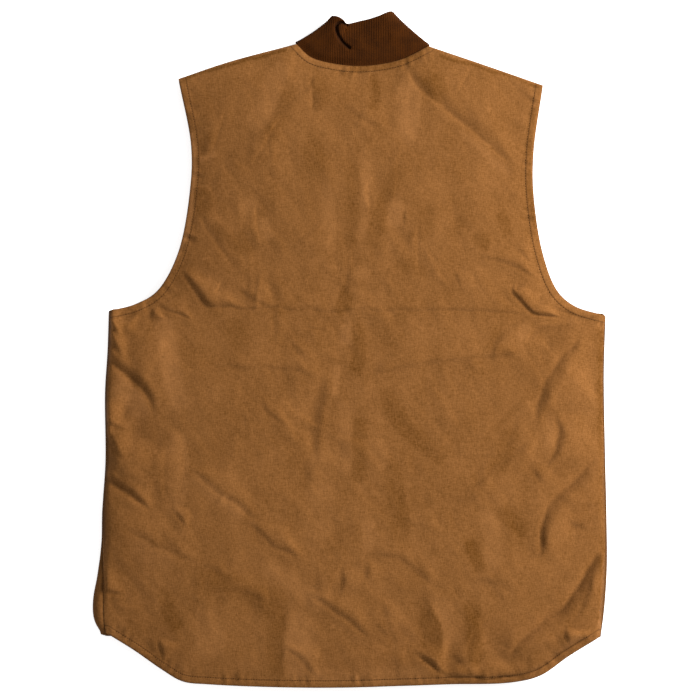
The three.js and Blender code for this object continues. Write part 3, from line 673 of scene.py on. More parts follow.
def fine_creases():
    """Short faint folds, scattered over the back."""
    chance = np.random.default_rng(CREASE_SEED)
    folds = []
    for _ in range(CREASE_COUNT):
        middle = np.array([chance.uniform(*CREASE_COLUMNS), chance.uniform(*CREASE_ROWS)])
        turn = chance.uniform(0, 2 * math.pi)
        half = chance.uniform(*CREASE_HALF_LENGTHS) * np.array([math.cos(turn), math.sin(turn)])
        bow = chance.normal(0, CREASE_BOW) * np.array([-half[1], half[0]])
        depth = chance.uniform(*CREASE_DEPTHS)
        folds.append(Fold("fine", depth, chance.uniform(*CREASE_WIDTHS), CREASE_RIM,
                          (middle - half, middle + bow, middle + half)))
    return folds


def fold_relief(x, y, folds):
    """Height that the folds add at plan points."""
    relief = np.zeros(x.shape)
    for number, fold in enumerate(folds):
        line = picture_route(fold)
        close = close_to(x, y, line, FOLD_REACH * fold.width)
        if not close.any():
            continue
        near = nearest(x[close], y[close], line)
        across = near.side * near.distance / fold.width
        ends = np.minimum(near.along, line.length - near.along)
        tip = FOLD_FADE * fold.width * (1 + np.maximum(across, 0))
        fade = smoothstep(ends / np.minimum(tip, line.length / 2))
        across /= FOLD_TIP + (1 - FOLD_TIP) * fade
        fade *= 1 + FOLD_UNEVEN * np.cos(near.along / (FOLD_WAVE * fold.width) + number)
        relief[close] += fold.depth * fade * crease_section(across, fold.rim)
    return relief


def tone_and_shade_marks(x, y):
    """How far the tone marks, partly painted light and shade, shift the yarns towards pale (positive) or
    dark at plan points.
    """
    shade = np.zeros(x.shape)
    for mark in MARKS:
        line = picture_route(mark)
        close = close_to(x, y, line, mark.width)
        near = nearest(x[close], y[close], line)
        across = near.side * near.distance / mark.width
        across = np.where(across < 0, -across / mark.edge, across)
        ends = np.minimum(near.along, line.length - near.along)
        fade = smoothstep(ends / min(MARK_FADE * mark.width, line.length / 2))
        across /= FOLD_TIP + (1 - FOLD_TIP) * fade
        shade[close] += mark.shade * fade * (1 - smoothstep((across - MARK_CORE) / (1 - MARK_CORE)))
    return shade


def wave_field(x, y, shortest, longest, waves, chance):
    """A smooth random field of mean 0 and spread 1 with the given wavelengths, mostly across the body."""
    field = np.zeros(x.shape)
    for _ in range(waves):
        turn = chance.normal(MOTTLE_TURN, MOTTLE_SPREAD)
        number = 2 * math.pi / chance.uniform(shortest, longest)
        phase = chance.uniform(0, 2 * math.pi)
        field += np.cos(number * (x * math.cos(turn) + y * math.sin(turn)) + phase)
    return field * math.sqrt(2 / waves)


def mottle_relief(x, y, height):
    """Unevenness of washed canvas, with soft creases where a creased field changes sign."""
    chance = np.random.default_rng(MOTTLE_SEED)
    relief = np.zeros(x.shape)
    for mottle in MOTTLES:
        field = wave_field(x, y, mottle.shortest, mottle.longest, mottle.waves, chance)
        if mottle.creased:
            field = np.sqrt(field ** 2 + CREASE_ROUNDING ** 2) - MOTTLE_LEVEL
        relief += height * mottle.share * field
    return relief


def wandered(x, y):
    """Plan points moved a little, so that folds don't run too straight."""
    chance = np.random.default_rng(MOTTLE_SEED + 1)
    shift_x = wave_field(x, y, *WANDER_WAVES, WANDER_COUNT, chance)
    shift_y = wave_field(x, y, *WANDER_WAVES, WANDER_COUNT, chance)
    return x + WANDER * shift_x, y + WANDER * shift_y


def edge_relief(x, y, sizes):
    """Turned edges: a raised band, puckers in groups along its stitch row, and a rounded rim."""
    chance = np.random.default_rng(PUCKER_SEED)
    relief = np.zeros(x.shape)
    for line, _, row in open_edges(sizes):
        near = nearest(x, y, line)
        inner = near.distance - row
        band = BAND_RISE * (1 - smoothstep(inner / BAND_STEP + 0.5))
        ripple = np.zeros(x.shape)
        for length in PUCKER_WAVES:
            phase = chance.uniform(0, 2 * math.pi)
            slant = chance.uniform(-PUCKER_SLANT, PUCKER_SLANT)
            ripple += np.sin(2 * math.pi * (near.along + slant * inner) / length + phase)
        phase = chance.uniform(0, 2 * math.pi)
        group = 0.5 + 0.5 * np.sin(2 * math.pi * near.along / PUCKER_GROUP + phase)
        pucker = mm(sizes.pucker) * ripple * group * np.exp(-(inner / PUCKER_REACH) ** 2)
        rim = EDGE_ROUNDING * np.exp(-(near.distance / EDGE_ROUNDING) ** EDGE_POWER)
        relief += band + pucker - rim
    return relief


def edge_roll(x, y):
    """Height of the back as it rolls up from its sewn edges, and how free each point is of the seam."""
    distance, peek, _, _ = nearest_seam(x, y)
    seam_height = SEAM_HEIGHT + PEEK_LIFT * peek
    roll = np.clip(distance / ROLL_WIDTH, 0, 1)
    rolled = seam_height + (EDGE_HEIGHT - seam_height) * np.sqrt(1 - (1 - roll) ** 2)
    return rolled, smoothstep(distance / SEAM_HOLD)


def back_height(x, y, sizes):
    """Outer face of the back panel above plan points, with all its relief."""
    rolled, free = edge_roll(x, y)
    crown = np.full(x.shape, float(CROWN_RISE))
    for rail in (left_rail, right_rail, hem_rail, top_rail):
        crown *= 1 - np.exp(-nearest(x, y, sampled(rail)).distance / CROWN_REACH)
    open_distance = np.min([nearest(x, y, line).distance for line, _, _ in open_edges(sizes)], axis=0)
    droop = EDGE_DROOP * np.exp(-(open_distance / DROOP_REACH) ** 2)
    relief = sizes.fold_gain * fold_relief(*wandered(x, y), [*FOLDS, *fine_creases()])
    relief += mottle_relief(x, y, mm(sizes.mottle))
    relief += edge_relief(x, y, sizes)
    return rolled + crown + (relief - droop) * free


def front_place(x, y):
    """Outer face of a front panel: flat on the floor, rolled up to the seam near a sewn edge."""
    distance, peek, out_x, out_y = nearest_seam(x, y)
    width = np.maximum(ROLL_WIDTH, peek)
    end_angle = np.arccos(1 - peek / width)
    half_height = (SEAM_HEIGHT + PEEK_LIFT * peek) / (1 + np.sin(end_angle))
    turn = np.arccos(1 - np.clip(distance / ROLL_WIDTH, 0, 1)) / (math.pi / 2)
    angle = end_angle + turn * (-math.pi / 2 - end_angle)
    outwards = np.where(distance < ROLL_WIDTH, peek - width + width * np.cos(angle) + distance, 0)
    height = half_height * (1 + np.sin(angle))
    return np.stack([x + outwards * out_x, y + outwards * out_y, height], -1)


def patch(bottom, top, left, right, u, v):
    """Plan points of a patch between four boundary functions."""
    over, up = u[..., None], v[..., None]
    sides = (1 - over) * left(v) + over * right(v) + (1 - up) * bottom(u) + up * top(u)
    ends = np.array([0.0, 1.0])
    low, high = bottom(ends), top(ends)
    corners = ((1 - up) * ((1 - over) * low[0] + over * low[1])
               + up * ((1 - over) * high[0] + over * high[1]))
    places = sides - corners
    return places[..., 0], places[..., 1]


def stepped(length, count, both_ends=True):
    """Shares of a length: close steps at the start, and at the end if asked, even steps between."""
    close = np.array(EDGE_STEPS) / length
    if both_ends:
        middle = np.linspace(close[-1], 1 - close[-1], count - 2 * len(close) + 2)[1:-1]
        return np.concatenate([close, middle, 1 - close[::-1]])
    return np.concatenate([close, np.linspace(close[-1], 1, count - len(close) + 1)[1:]])


# Meshes

def grid_normals(grid):
    """Outward directions of a grid whose rows go up and columns go right."""
    right = np.gradient(grid, axis=1)
    up = np.gradient(grid, axis=0)
    normal = np.cross(right, up)
    return normal / np.maximum(np.linalg.norm(normal, axis=-1, keepdims=True), 1e-9)


def grid_faces(rows, columns, start, flip):
    """Quads of a grid of vertices that are numbered by rows from start."""
    index = start + np.arange(rows * columns).reshape(rows, columns)
    corners = [index[:-1, :-1], index[:-1, 1:], index[1:, 1:], index[1:, :-1]]
    if flip:
        corners.reverse()
    return np.stack(corners, -1).reshape(-1, 4).tolist()


def border(index):
    """Vertices round a grid of numbers, once round."""
    return np.concatenate([index[0, :-1], index[:-1, -1], index[-1, :0:-1], index[:0:-1, 0]])


def wall_mesh(name, outer, inner):
    """A closed wall: a fine outer grid, and an inner grid with half as many steps each way."""
    rows, columns = outer.shape[:2]
    inner_rows, inner_columns = inner.shape[:2]
    faces = grid_faces(rows, columns, 0, False)
    faces += grid_faces(inner_rows, inner_columns, rows * columns, True)
    rim_out = border(np.arange(rows * columns).reshape(rows, columns))
    inside = np.arange(inner_rows * inner_columns).reshape(inner_rows, inner_columns)
    rim_in = border(rows * columns + inside)
    for k, (first, second) in enumerate(zip(rim_in, np.roll(rim_in, -1))):
        here, between, there = rim_out[2 * k], rim_out[2 * k + 1], rim_out[(2 * k + 2) % len(rim_out)]
        faces.append([int(vertex) for vertex in (first, second, there, between, here)])
    points = np.vstack([outer.reshape(-1, 3), inner.reshape(-1, 3)]) * MM
    return mesh_object(name, points, faces)


def mesh_object(name, points, faces):
    """A smooth-shaded mesh object at the origin."""
    mesh = bpy.data.meshes.new(name)
    mesh.from_pydata(points.tolist(), [], faces)
    mesh.polygons.foreach_set("use_smooth", [True] * len(mesh.polygons))
    mesh.update()
    made = bpy.data.objects.new(name, mesh)
    bpy.context.scene.collection.objects.link(made)
    return made


def lowest_around(grid, reach):
    """Height of the lowest point within some steps of each grid point."""
    height = grid[..., 2].copy()
    for axis in (0, 1):
        moved = [height]
        for step in range(1, reach + 1):
            for sign in (step, -step):
                moved.append(np.roll(height, sign, axis))
        edge = np.min(moved, axis=0)
        inside = [slice(None)] * 2
        inside[axis] = slice(reach, -reach)
        height[tuple(inside)] = edge[tuple(inside)]
    return height


def inner_face(outer, wall):
    """The inner grid of a wall, half as fine, set back along the surface's direction."""
    coarse = outer[::2, ::2].copy()
    coarse[..., 2] = lowest_around(outer, 1)[::2, ::2]
    return coarse - wall * grid_normals(outer)[::2, ::2]


def give_attribute(piece, name, values, filler):
    """Numbers that the material reads: one for each vertex of a wall's outer face, a filler elsewhere."""
    numbers = np.full(len(piece.data.vertices), filler, np.float32)
    numbers[:values.size] = values.ravel()
    piece.data.attributes.new(name, "FLOAT", "POINT").data.foreach_set("value", numbers)


def crease_of(outer):
    """How hollow (positive) or raised (negative) the cloth is at each grid point."""
    height = outer[..., 2]
    step = np.linalg.norm(np.gradient(outer, axis=0), axis=-1)
    wide = np.linalg.norm(np.gradient(outer, axis=1), axis=-1)
    bend = (np.gradient(np.gradient(height, axis=0), axis=0) / step ** 2
            + np.gradient(np.gradient(height, axis=1), axis=1) / wide ** 2)
    for axis in (0, 1):
        bend = (np.roll(bend, 1, axis) + 2 * bend + np.roll(bend, -1, axis)) / 4
    return np.clip(bend / HOLLOW_BEND, -1, 1)


def row_distance(x, y, sizes):
    """Signed distance from the nearest topstitch row, in millimetres."""
    rows = np.array([nearest(x, y, line).distance - row for line, _, row in open_edges(sizes)])
    return np.take_along_axis(rows, np.abs(rows).argmin(0)[None], 0)[0]


# Materials

def add_node(tree, kind, settings=(), links=()):
    """Adds a node, sets its properties and unlinked sockets, and links the named sockets."""
    made = tree.nodes.new(kind)
    for name, value in dict(settings).items():
        if isinstance(name, int) or name in made.inputs:
            made.inputs[name].default_value = value
        else:
            setattr(made, name, value)
    for name, source in dict(links).items():
        tree.links.new(source, made.inputs[name])
    return made


def new_material(name):
    """An empty node material, and its tree."""
    material = bpy.data.materials.new(name)
    material.use_nodes = True
    material.node_tree.nodes.clear()
    return material, material.node_tree


def opaque(rgb):
    """A colour with full alpha."""
    return (*rgb, 1.0)


def duck_canvas():
    """Plain-woven cotton duck, washed and brushed: matt, with slubby yarns both ways, a soft mottle of
    fading, tone marks that are partly painted light and shade, painted shade in hollows and on the rolled
    edges, and a sunk line along the topstitching, darkened with painted shade. Real yarns are about 0.6
    mm apart, too fine to show in the render, so they are drawn about 1 mm apart."""
    colours = bpy.context.scene.vest_colours
    material, tree = new_material("washed duck canvas")
    place = add_node(tree, "ShaderNodeTexCoord").outputs["Object"]
    yarn, slub, patch_size = 1.0 * MM, 4.5 * MM, 40 * MM
    # Width of the stitch row's line, its painted shade and its sink, and the share of the tone marks
    needle_width, needle_painted_shade, needle_sink, tone_share = 1.3, 0.5, -0.8, 0.7
    yarns = []
    for scale in ((1 / yarn, 1 / slub, 1 / slub), (1 / slub, 1 / yarn, 1 / slub)):
        stretched = add_node(tree, "ShaderNodeMapping", {"Scale": scale}, {"Vector": place})
        yarns.append(add_node(tree, "ShaderNodeTexNoise", {"Scale": 1.0, "Detail": 1.0, "Roughness": 0.5},
                              {"Vector": stretched.outputs[0]}).outputs["Fac"])
    weave = add_node(tree, "ShaderNodeMath", {"operation": "ADD"}, {0: yarns[0], 1: yarns[1]}).outputs[0]
    fading = add_node(tree, "ShaderNodeTexNoise",
                      {"Scale": 1 / patch_size, "Detail": 3.0, "Roughness": 0.55},
                      {"Vector": place}).outputs["Fac"]
    faded = add_node(tree, "ShaderNodeMapRange",
                     {"From Min": 0.3, "From Max": 0.7, "To Min": -0.12, "To Max": 0.12}, {0: fading})
    woven = add_node(tree, "ShaderNodeMapRange",
                     {"From Min": 0.7, "From Max": 1.3, "To Min": 0.2, "To Max": 0.8, "clamp": False},
                     {0: weave})
    even = add_node(tree, "ShaderNodeMath", {"operation": "ADD"},
                    {0: faded.outputs[0], 1: woven.outputs[0]})
    # Tone marks from the tone attribute: partly rubbed nap, partly painted light and shade of creases
    tone = add_node(tree, "ShaderNodeAttribute", {"attribute_name": "tone"}).outputs["Fac"]
    shade = add_node(tree, "ShaderNodeMath", {"operation": "MULTIPLY_ADD", 1: tone_share},
                     {0: tone, 2: even.outputs[0]}).outputs[0]
    yarn_colour = add_node(tree, "ShaderNodeMix",
                           {"data_type": "RGBA", "clamp_factor": False,
                            6: opaque(colours.canvas), 7: opaque(colours.canvas_faded_and_painted_light)},
                           {0: shade}).outputs[2]
    # Painted shade in hollows and on the rolled edges, read from the crease attribute
    crease = add_node(tree, "ShaderNodeAttribute", {"attribute_name": "crease"}).outputs["Fac"]
    hollow = add_node(tree, "ShaderNodeMapRange",
                      {"From Min": 0.05, "From Max": 2.0, "To Min": 0.0, "To Max": 0.9}, {0: crease})
    row = add_node(tree, "ShaderNodeAttribute", {"attribute_name": "stitch_row"}).outputs["Fac"]
    off_row = add_node(tree, "ShaderNodeMath", {"operation": "ABSOLUTE"}, {0: row}).outputs[0]
    needle = add_node(tree, "ShaderNodeMapRange",
                      {"interpolation_type": "SMOOTHSTEP", "From Min": needle_width, "From Max": 0.0},
                      {0: off_row}).outputs[0]
    # Painted shade along the stitch rows, added to that of the hollows
    dark = add_node(tree, "ShaderNodeMath",
                    {"operation": "MULTIPLY_ADD", 1: needle_painted_shade, "use_clamp": True},
                    {0: needle, 2: hollow.outputs[0]}).outputs[0]
    cloth = add_node(tree, "ShaderNodeMix", {"data_type": "RGBA", 7: opaque(colours.canvas_painted_shade)},
                     {0: dark, 6: yarn_colour}).outputs[2]
    relief = add_node(tree, "ShaderNodeMath", {"operation": "MULTIPLY_ADD", 1: needle_sink},
                      {0: needle, 2: weave})
    bump = add_node(tree, "ShaderNodeBump", {"Strength": 0.4, "Distance": 0.4 * MM},
                    {"Height": relief.outputs[0]})
    surface = add_node(tree, "ShaderNodeBsdfPrincipled",
                       {"Roughness": 0.95, "Specular IOR Level": 0.1},
                       {"Base Color": cloth, "Normal": bump.outputs[0]})
    add_node(tree, "ShaderNodeOutputMaterial", (), {"Surface": surface.outputs[0]})
    return material


def rib_knit():
    """Wool-blend 1x1 rib, knitted double: soft and matt, with painted shade between the ribs and in the
    slit, clouds and a fuzzy grain of loops. Real loops are about 1 mm long; they are drawn a little
    coarser."""
    colours = bpy.context.scene.vest_colours
    material, tree = new_material("rib knit")
    loop, cloud, rib_share = 1.4 * MM, 16 * MM, 0.7
    place = add_node(tree, "ShaderNodeTexCoord").outputs["Object"]
    rib = add_node(tree, "ShaderNodeAttribute", {"attribute_name": "rib"}).outputs["Fac"]
    loops = add_node(tree, "ShaderNodeTexNoise", {"Scale": 1 / loop, "Detail": 2.0},
                     {"Vector": place}).outputs["Fac"]
    clouds = add_node(tree, "ShaderNodeTexNoise", {"Scale": 1 / cloud, "Detail": 2.0},
                      {"Vector": place}).outputs["Fac"]
    uneven = add_node(tree, "ShaderNodeMath", {"operation": "ADD"}, {0: loops, 1: clouds}).outputs[0]
    # Painted shade between the ribs and in the slit, mixed with the grain of loops and clouds
    shade = add_node(tree, "ShaderNodeMath", {"operation": "MULTIPLY_ADD", 1: rib_share},
                     {0: rib, 2: uneven})
    depth = add_node(tree, "ShaderNodeMapRange", {"From Min": 1.75, "From Max": 0.85},
                     {0: shade.outputs[0]})
    yarn = add_node(tree, "ShaderNodeMix",
                    {"data_type": "RGBA", 6: opaque(colours.knit), 7: opaque(colours.knit_shade_and_dark_loops)},
                    {0: depth.outputs[0]}).outputs[2]
    bump = add_node(tree, "ShaderNodeBump", {"Strength": 0.4, "Distance": 0.3 * MM}, {"Height": loops})
    surface = add_node(tree, "ShaderNodeBsdfPrincipled",
                       {"Roughness": 0.95, "Specular IOR Level": 0.05},
                       {"Base Color": yarn, "Normal": bump.outputs[0]})
    add_node(tree, "ShaderNodeOutputMaterial", (), {"Surface": surface.outputs[0]})
    return material


def grained(name, rgb, grain, roughness, contrast, sheen):
    """A plain material whose one colour varies with a fine grain of the given size in metres."""
    material, tree = new_material(name)
    place = add_node(tree, "ShaderNodeTexCoord").outputs["Object"]
    noise = add_node(tree, "ShaderNodeTexNoise", {"Scale": 1 / grain, "Detail": 3.0}, {"Vector": place})
    dark = [channel * (1 - contrast) for channel in rgb]
    light = [min(1, channel * (1 + contrast)) for channel in rgb]
    mixed = add_node(tree, "ShaderNodeMix", {"data_type": "RGBA", 6: opaque(dark), 7: opaque(light)},
                     {0: noise.outputs["Fac"]}).outputs[2]
    bump = add_node(tree, "ShaderNodeBump", {"Strength": 0.3, "Distance": 0.2 * MM},
                    {"Height": noise.outputs["Fac"]})
    surface = add_node(tree, "ShaderNodeBsdfPrincipled",
                       {"Roughness": roughness, "Specular IOR Level": sheen},
                       {"Base Color": mixed, "Normal": bump.outputs[0]})
    add_node(tree, "ShaderNodeOutputMaterial", (), {"Surface": surface.outputs[0]})
    return material


def dress(piece, material, node=None):
    """Gives a piece its material, body, node and slot."""
    piece.data.materials.clear()
    piece.data.materials.append(material)
    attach(piece, BODY)
    if node:
        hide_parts(node)
    return piece


def canvas_material():
    """The canvas, made once."""
    return bpy.data.materials.get("washed duck canvas") or duck_canvas()


# Pieces

def build_back(sizes):
    """The back panel: a fine outer face with folds, and a plain inner face."""
    v = stepped(BACK_LENGTH, BACK_ROWS)
    widths = np.linalg.norm(right_rail(v) - left_rail(v), axis=1)
    u = np.array([stepped(width, BACK_COLUMNS) for width in widths])
    x, y = patch(hem_rail, top_rail, left_rail, right_rail, u, np.repeat(v[:, None], BACK_COLUMNS, 1))
    outer = np.stack([x, y, back_height(x, y, sizes)], -1)
    sewn_row = v <= ARMPIT_ALONG
    outer[sewn_row, 0, 2] += SEAM_GAP / 2
    outer[sewn_row, -1, 2] += SEAM_GAP / 2
    inner = inner_face(outer, mm(sizes.canvas_wall))
    panel = wall_mesh("back_canvas", outer, inner)
    # Painted shade along the back's left seam, added to the painted shade of its hollows
    seam = np.exp(-(nearest(x, y, left_side).distance / SEAM_SHADE_REACH) ** 2)
    seam *= smoothstep((y - SEAM_SHADE_END) / SEAM_SHADE_FADE)
    give_attribute(panel, "crease", crease_of(outer) + ROLL_SHADE * seam, 0)
    give_attribute(panel, "stitch_row", row_distance(x, y, sizes), FAR_FROM_ROW)
    # Tone marks for the material, partly painted light and shade
    give_attribute(panel, "tone", tone_and_shade_marks(*wandered(x, y)), 0)
    return panel


def front_lines(side):
    """Boundary functions of a front panel: hem, shoulder, side and armhole, and zip edge and neckline."""
    rail, shoulder = (left_rail, left_shoulder) if side < 0 else (right_rail, right_shoulder)
    neckline = smooth_line(LEFT_FRONT_NECKLINE if side < 0 else RIGHT_FRONT_NECKLINE)

    def zip_edge(height):
        return AXIS_X_AT_ORIGIN + AXIS_LEAN * height + side * ZIP_WIDTH / 2

    shares = np.linspace(0, 1, HEM_SAMPLES)
    hem_end = np.interp(zip_edge(ZIP_BOTTOM), hem_rail(shares)[:, 0], shares)
    hem_start = 0 if side < 0 else 1

    def outer(v):
        places = rail(v)
        armhole = np.clip((v - ARMPIT_ALONG) / (1 - ARMPIT_ALONG), 0, 1)
        places[..., 0] -= side * FRONT_SCOOP * np.sin(math.pi * armhole)
        return places

    def bottom(u):
        places = hem_rail(hem_start + u * (hem_end - hem_start))
        places[..., 1] += FRONT_HEM_INSET * np.clip(u * FRONT_HEM_EASE, 0, 1)
        return places

    def top(u):
        return shoulder.at(u if side < 0 else 1 - u)

    low = bottom(np.array([1.0]))[0, 1]
    neck_low = neckline.points[0, 1]
    zip_line = Line([(zip_edge(low), low), (zip_edge(neck_low), neck_low)])
    inner = joined([zip_line, neckline], [0, FRONT_NECK_ALONG, 1])
    return bottom, top, outer, inner


def build_front(name, side, sizes):
    """A front panel, flat on the floor, with its sewn edges rolled up to the back."""
    bottom, top, outer_line, inner_line = front_lines(side)
    last = np.sin(np.linspace(0, math.pi / 2, FRONT_TOP_ROWS + 1)[1:])
    even = 1 - FRONT_TOP_SHARE
    v = np.concatenate([np.linspace(0, even, FRONT_ROWS - FRONT_TOP_ROWS), even + FRONT_TOP_SHARE * last])
    widths = np.linalg.norm(outer_line(v) - inner_line(v), axis=1)
    u = np.array([stepped(width, FRONT_COLUMNS, both_ends=False) for width in widths])
    x, y = patch(bottom, top, outer_line, inner_line, u, np.repeat(v[:, None], FRONT_COLUMNS, 1))
    if side < 0:
        x, y = x[:, ::-1], y[:, ::-1]
    outer = front_place(x, y)
    sewn = 0 if side > 0 else -1
    outer[v <= ARMPIT_ALONG, sewn, 2] -= SEAM_GAP / 2
    inner = outer[::2, ::2] - mm(sizes.canvas_wall) * grid_normals(outer)[::2, ::2]
    panel = wall_mesh(name, outer, inner)
    # Painted shade on the rolled edges, weaker where the roll faces up, added to that of the hollows
    upward = np.clip(grid_normals(outer)[..., 2], 0, 1)
    rolled = (nearest_seam(x, y)[0] < ROLL_WIDTH) * (1 - ROLL_LIT_SHARE * upward)
    give_attribute(panel, "crease", crease_of(outer) + ROLL_SHADE * rolled, 0)
    give_attribute(panel, "stitch_row", np.full(x.shape, FAR_FROM_ROW), FAR_FROM_ROW)
    return panel


def collar_seam(station, sizes):
    """Lower edge of the collar at a station: its middle, and its distance from the neckline (negative
    where it is tucked under the back's canvas)."""
    lines = {"back": back_neckline, "left front": smooth_line(LEFT_FRONT_NECKLINE),
             "right front": smooth_line(RIGHT_FRONT_NECKLINE)}
    x, y = lines[station.neckline].at(np.array([station.along])).T
    if station.neckline == "back":
        rolled, free = edge_roll(x, y)
        z = rolled - free * (EDGE_DROOP + mm(sizes.canvas_wall) + COLLAR_TUCK_DROP)
        tucked = smoothstep(nearest_seam(x, y)[0] / COLLAR_TUCK_REACH)[0]
    else:
        z = np.maximum(COLLAR_FLOOR + mm(sizes.collar_wall) / 2, front_place(x, y)[:, 2])
        tucked = 0
    return (x[0], y[0], z[0]), COLLAR_GAP - tucked * (COLLAR_GAP + COLLAR_TUCK)


def collar_middle(sizes):
    """Middle face of the collar, drawn in at its sides, with each point's share of the way up, the
    lengths of its columns, and its arch, which is 1 halfway up."""
    per_span = COLLAR_COLUMNS_PER_SPAN
    lower = [collar_seam(station, sizes) for station in COLLAR]
    seams = smooth_points([middle for middle, _ in lower], per_span)
    tops = smooth_points([(s.x, s.y, s.z) for s in COLLAR], per_span)
    spans = np.arange(len(seams)) / per_span
    start = np.interp(spans, range(len(COLLAR)), [distance for _, distance in lower])
    lengths = np.linalg.norm(tops - seams, axis=1)
    rows = np.linspace(0, 1, COLLAR_ROWS - len(COLLAR_LIP_ROWS) + 1)
    rows = np.concatenate([rows[:-1], COLLAR_LIP_ROWS])
    share = start / lengths + (1 - start / lengths) * rows[:, None]
    middle = seams + share[..., None] * (tops - seams)
    arch = 4 * np.clip(share, 0, 1) * (1 - share)
    left, right = middle[..., 0].min(1, keepdims=True), middle[..., 0].max(1, keepdims=True)
    sideways = 2 * (middle[..., 0] - left) / (right - left) - 1
    waist = np.where(sideways < 0, COLLAR_WAIST_LEFT, COLLAR_WAIST_RIGHT)
    middle[..., 0] -= waist * arch * sideways ** 3
    return middle, share, lengths, arch


def collar_half(from_seam, from_top, facing, sizes):
    """Half the collar's thickness: thin at its seam, where it shows, and rounded at its lip."""
    half = np.full(facing.shape, mm(sizes.collar_wall) / 2)
    rounded = np.clip(1 - from_top / half, 0, 1)
    half_top = half * np.sqrt(np.clip(1 - rounded ** 2, 0, 1)) + COLLAR_LIP
    seam_share = smoothstep(from_seam / COLLAR_SEAM_REACH)
    half_seam = COLLAR_SEAM_HALF + (half - COLLAR_SEAM_HALF) * np.where(facing > 0, seam_share, 1)
    return np.minimum(half_top, half_seam)


def build_collar(sizes):
    """The stand collar: a ribbed band from the neckline up, flattened, with a buckle on its left."""
    middle, share, lengths, arch = collar_middle(sizes)
    normals = grid_normals(middle)
    facing = np.maximum(normals[..., 2], 0)
    from_seam = share * lengths
    from_top = (1 - share) * lengths
    half = collar_half(from_seam, from_top, facing, sizes)
    x, y = middle[..., 0], middle[..., 1]
    rib = np.cos(2 * math.pi * x / mm(sizes.rib_pitch))
    edge_fade = smoothstep(from_top / RIB_TOP_FADE) * smoothstep(from_seam / RIB_SEAM_FADE)
    slit_fade = facing * smoothstep(from_top / SLIT_TOP_FADE)
    near = nearest(x, y, picture_route(COLLAR_SLIT))
    slit = np.exp(-(near.distance / COLLAR_SLIT.width) ** 2) * slit_fade
    relief = mm(sizes.rib_depth) / 2 * rib * edge_fade - COLLAR_SLIT.depth * slit
    relief += fold_relief(x, y, COLLAR_FOLDS) * slit_fade
    bulge = COLLAR_BULGE * arch * facing
    relief += bulge
    outer = middle + normals * (half + relief)[..., None]
    inner = (middle + normals * (np.minimum(relief, bulge) - half)[..., None])[::2, ::2]
    for face in (outer, inner):
        face[..., 2] = np.maximum(face[..., 2], FLOOR_CLEARANCE)
    collar = wall_mesh("collar_knit", outer, inner)
    # The rib attribute carries painted shade: low between the ribs and lowest in the slit
    give_attribute(collar, "rib", (rib * 0.5 + 0.5) * (1 - slit) - slit, 0.5)
    return collar


def stitch_places(line, turn, row, sizes):
    """Ends and middles of the stitches in a row beside an open edge."""
    pitch = mm(sizes.stitch_pitch)
    count = int(line.length / pitch)
    share = (np.arange(count)[:, None] + np.array(STITCH_ENDS)) / count
    place = line.at(share)[..., :2]
    tangent = line.at(share + STITCH_STEP)[..., :2] - line.at(share - STITCH_STEP)[..., :2]
    tangent /= np.linalg.norm(tangent, axis=-1, keepdims=True)
    inward = np.stack([-tangent[..., 1], tangent[..., 0]], -1) * turn
    place = place + row * inward
    inside = share[:, 1] * line.length
    keep = (inside > row * STITCH_MARGIN) & (inside < line.length - row * STITCH_MARGIN)
    place = place[keep]
    height = back_height(place[..., 0], place[..., 1], sizes)
    return np.concatenate([place, height[..., None]], -1)


def build_stitches(sizes):
    """Topstitches along hem, armholes and neckline, as one joined mesh of short bowed threads."""
    radius = mm(sizes.stitch_width) / 2
    runs = np.concatenate([stitch_places(*edge, sizes) for edge in open_edges(sizes)])
    runs[:, 0, 2] -= radius
    runs[:, 2, 2] -= radius
    runs[:, 1, 2] += radius * STITCH_BOW
    along = runs[:, 2] - runs[:, 0]
    along /= np.linalg.norm(along, axis=1, keepdims=True)
    across = np.cross(along, (0, 0, 1.0))
    across /= np.linalg.norm(across, axis=1, keepdims=True)
    above = np.cross(across, along)
    sides = STITCH_SIDES
    angle = np.arange(sides) * 2 * math.pi / sides
    ring = np.cos(angle)[:, None, None] * across + np.sin(angle)[:, None, None] * above
    blocks = [runs[None, :, 0]]
    for share in STITCH_RINGS:
        middle = (runs[:, 0] * (1 - share) + runs[:, 2] * share
                  + (runs[:, 1] - (runs[:, 0] + runs[:, 2]) / 2) * (1 - (2 * share - 1) ** 2))
        blocks.append(middle + radius * ring)
    blocks.append(runs[None, :, 2])
    points = np.concatenate(blocks).transpose(1, 0, 2)
    size = points.shape[1]
    faces = []
    for base in range(0, len(runs) * size, size):
        last = base + size - 1
        for k in range(sides):
            n = (k + 1) % sides
            faces.append([base, base + 1 + n, base + 1 + k])
            faces.append([last, last - sides + k, last - sides + n])
            for level in (0, sides):
                first = base + 1 + level
                faces.append([first + k, first + n, first + sides + n, first + sides + k])
    return mesh_object("topstitching", points.reshape(-1, 3) * MM, faces)


def zip_place(points):
    """Moves points from the zip's own line to its leaning place in the vest."""
    lean = math.atan(AXIS_LEAN)
    x = points[..., 0] * math.cos(lean) + points[..., 1] * math.sin(lean) + AXIS_X_AT_ORIGIN
    y = points[..., 1] * math.cos(lean) - points[..., 0] * math.sin(lean)
    return np.stack([x, y, points[..., 2]], -1)


def build_zip_tape():
    """The two woven tapes of the zip, as one closed strip with a beaded edge along the chain."""
    half = ZIP_WIDTH / 2 - SEAM_GAP
    right = [*ZIP_SECTION, TapePoint(half - TAPE_EDGE_WIDTH, TAPE_HEIGHT),
             TapePoint(half, TAPE_EDGE_HEIGHT)]
    left = [TapePoint(-point.across, point.height) for point in right[:0:-1]]
    across, raised = np.array(left + right).T
    x, y = np.meshgrid(across, np.linspace(ZIP_BOTTOM, ZIP_TOP, ZIP_ROWS))
    outer = zip_place(np.stack([x, y, np.broadcast_to(raised, x.shape)], -1))
    inner = zip_place(np.stack([x, y, np.zeros(x.shape)], -1))[::2, ::2]
    return wall_mesh("zip_tape", outer, inner)


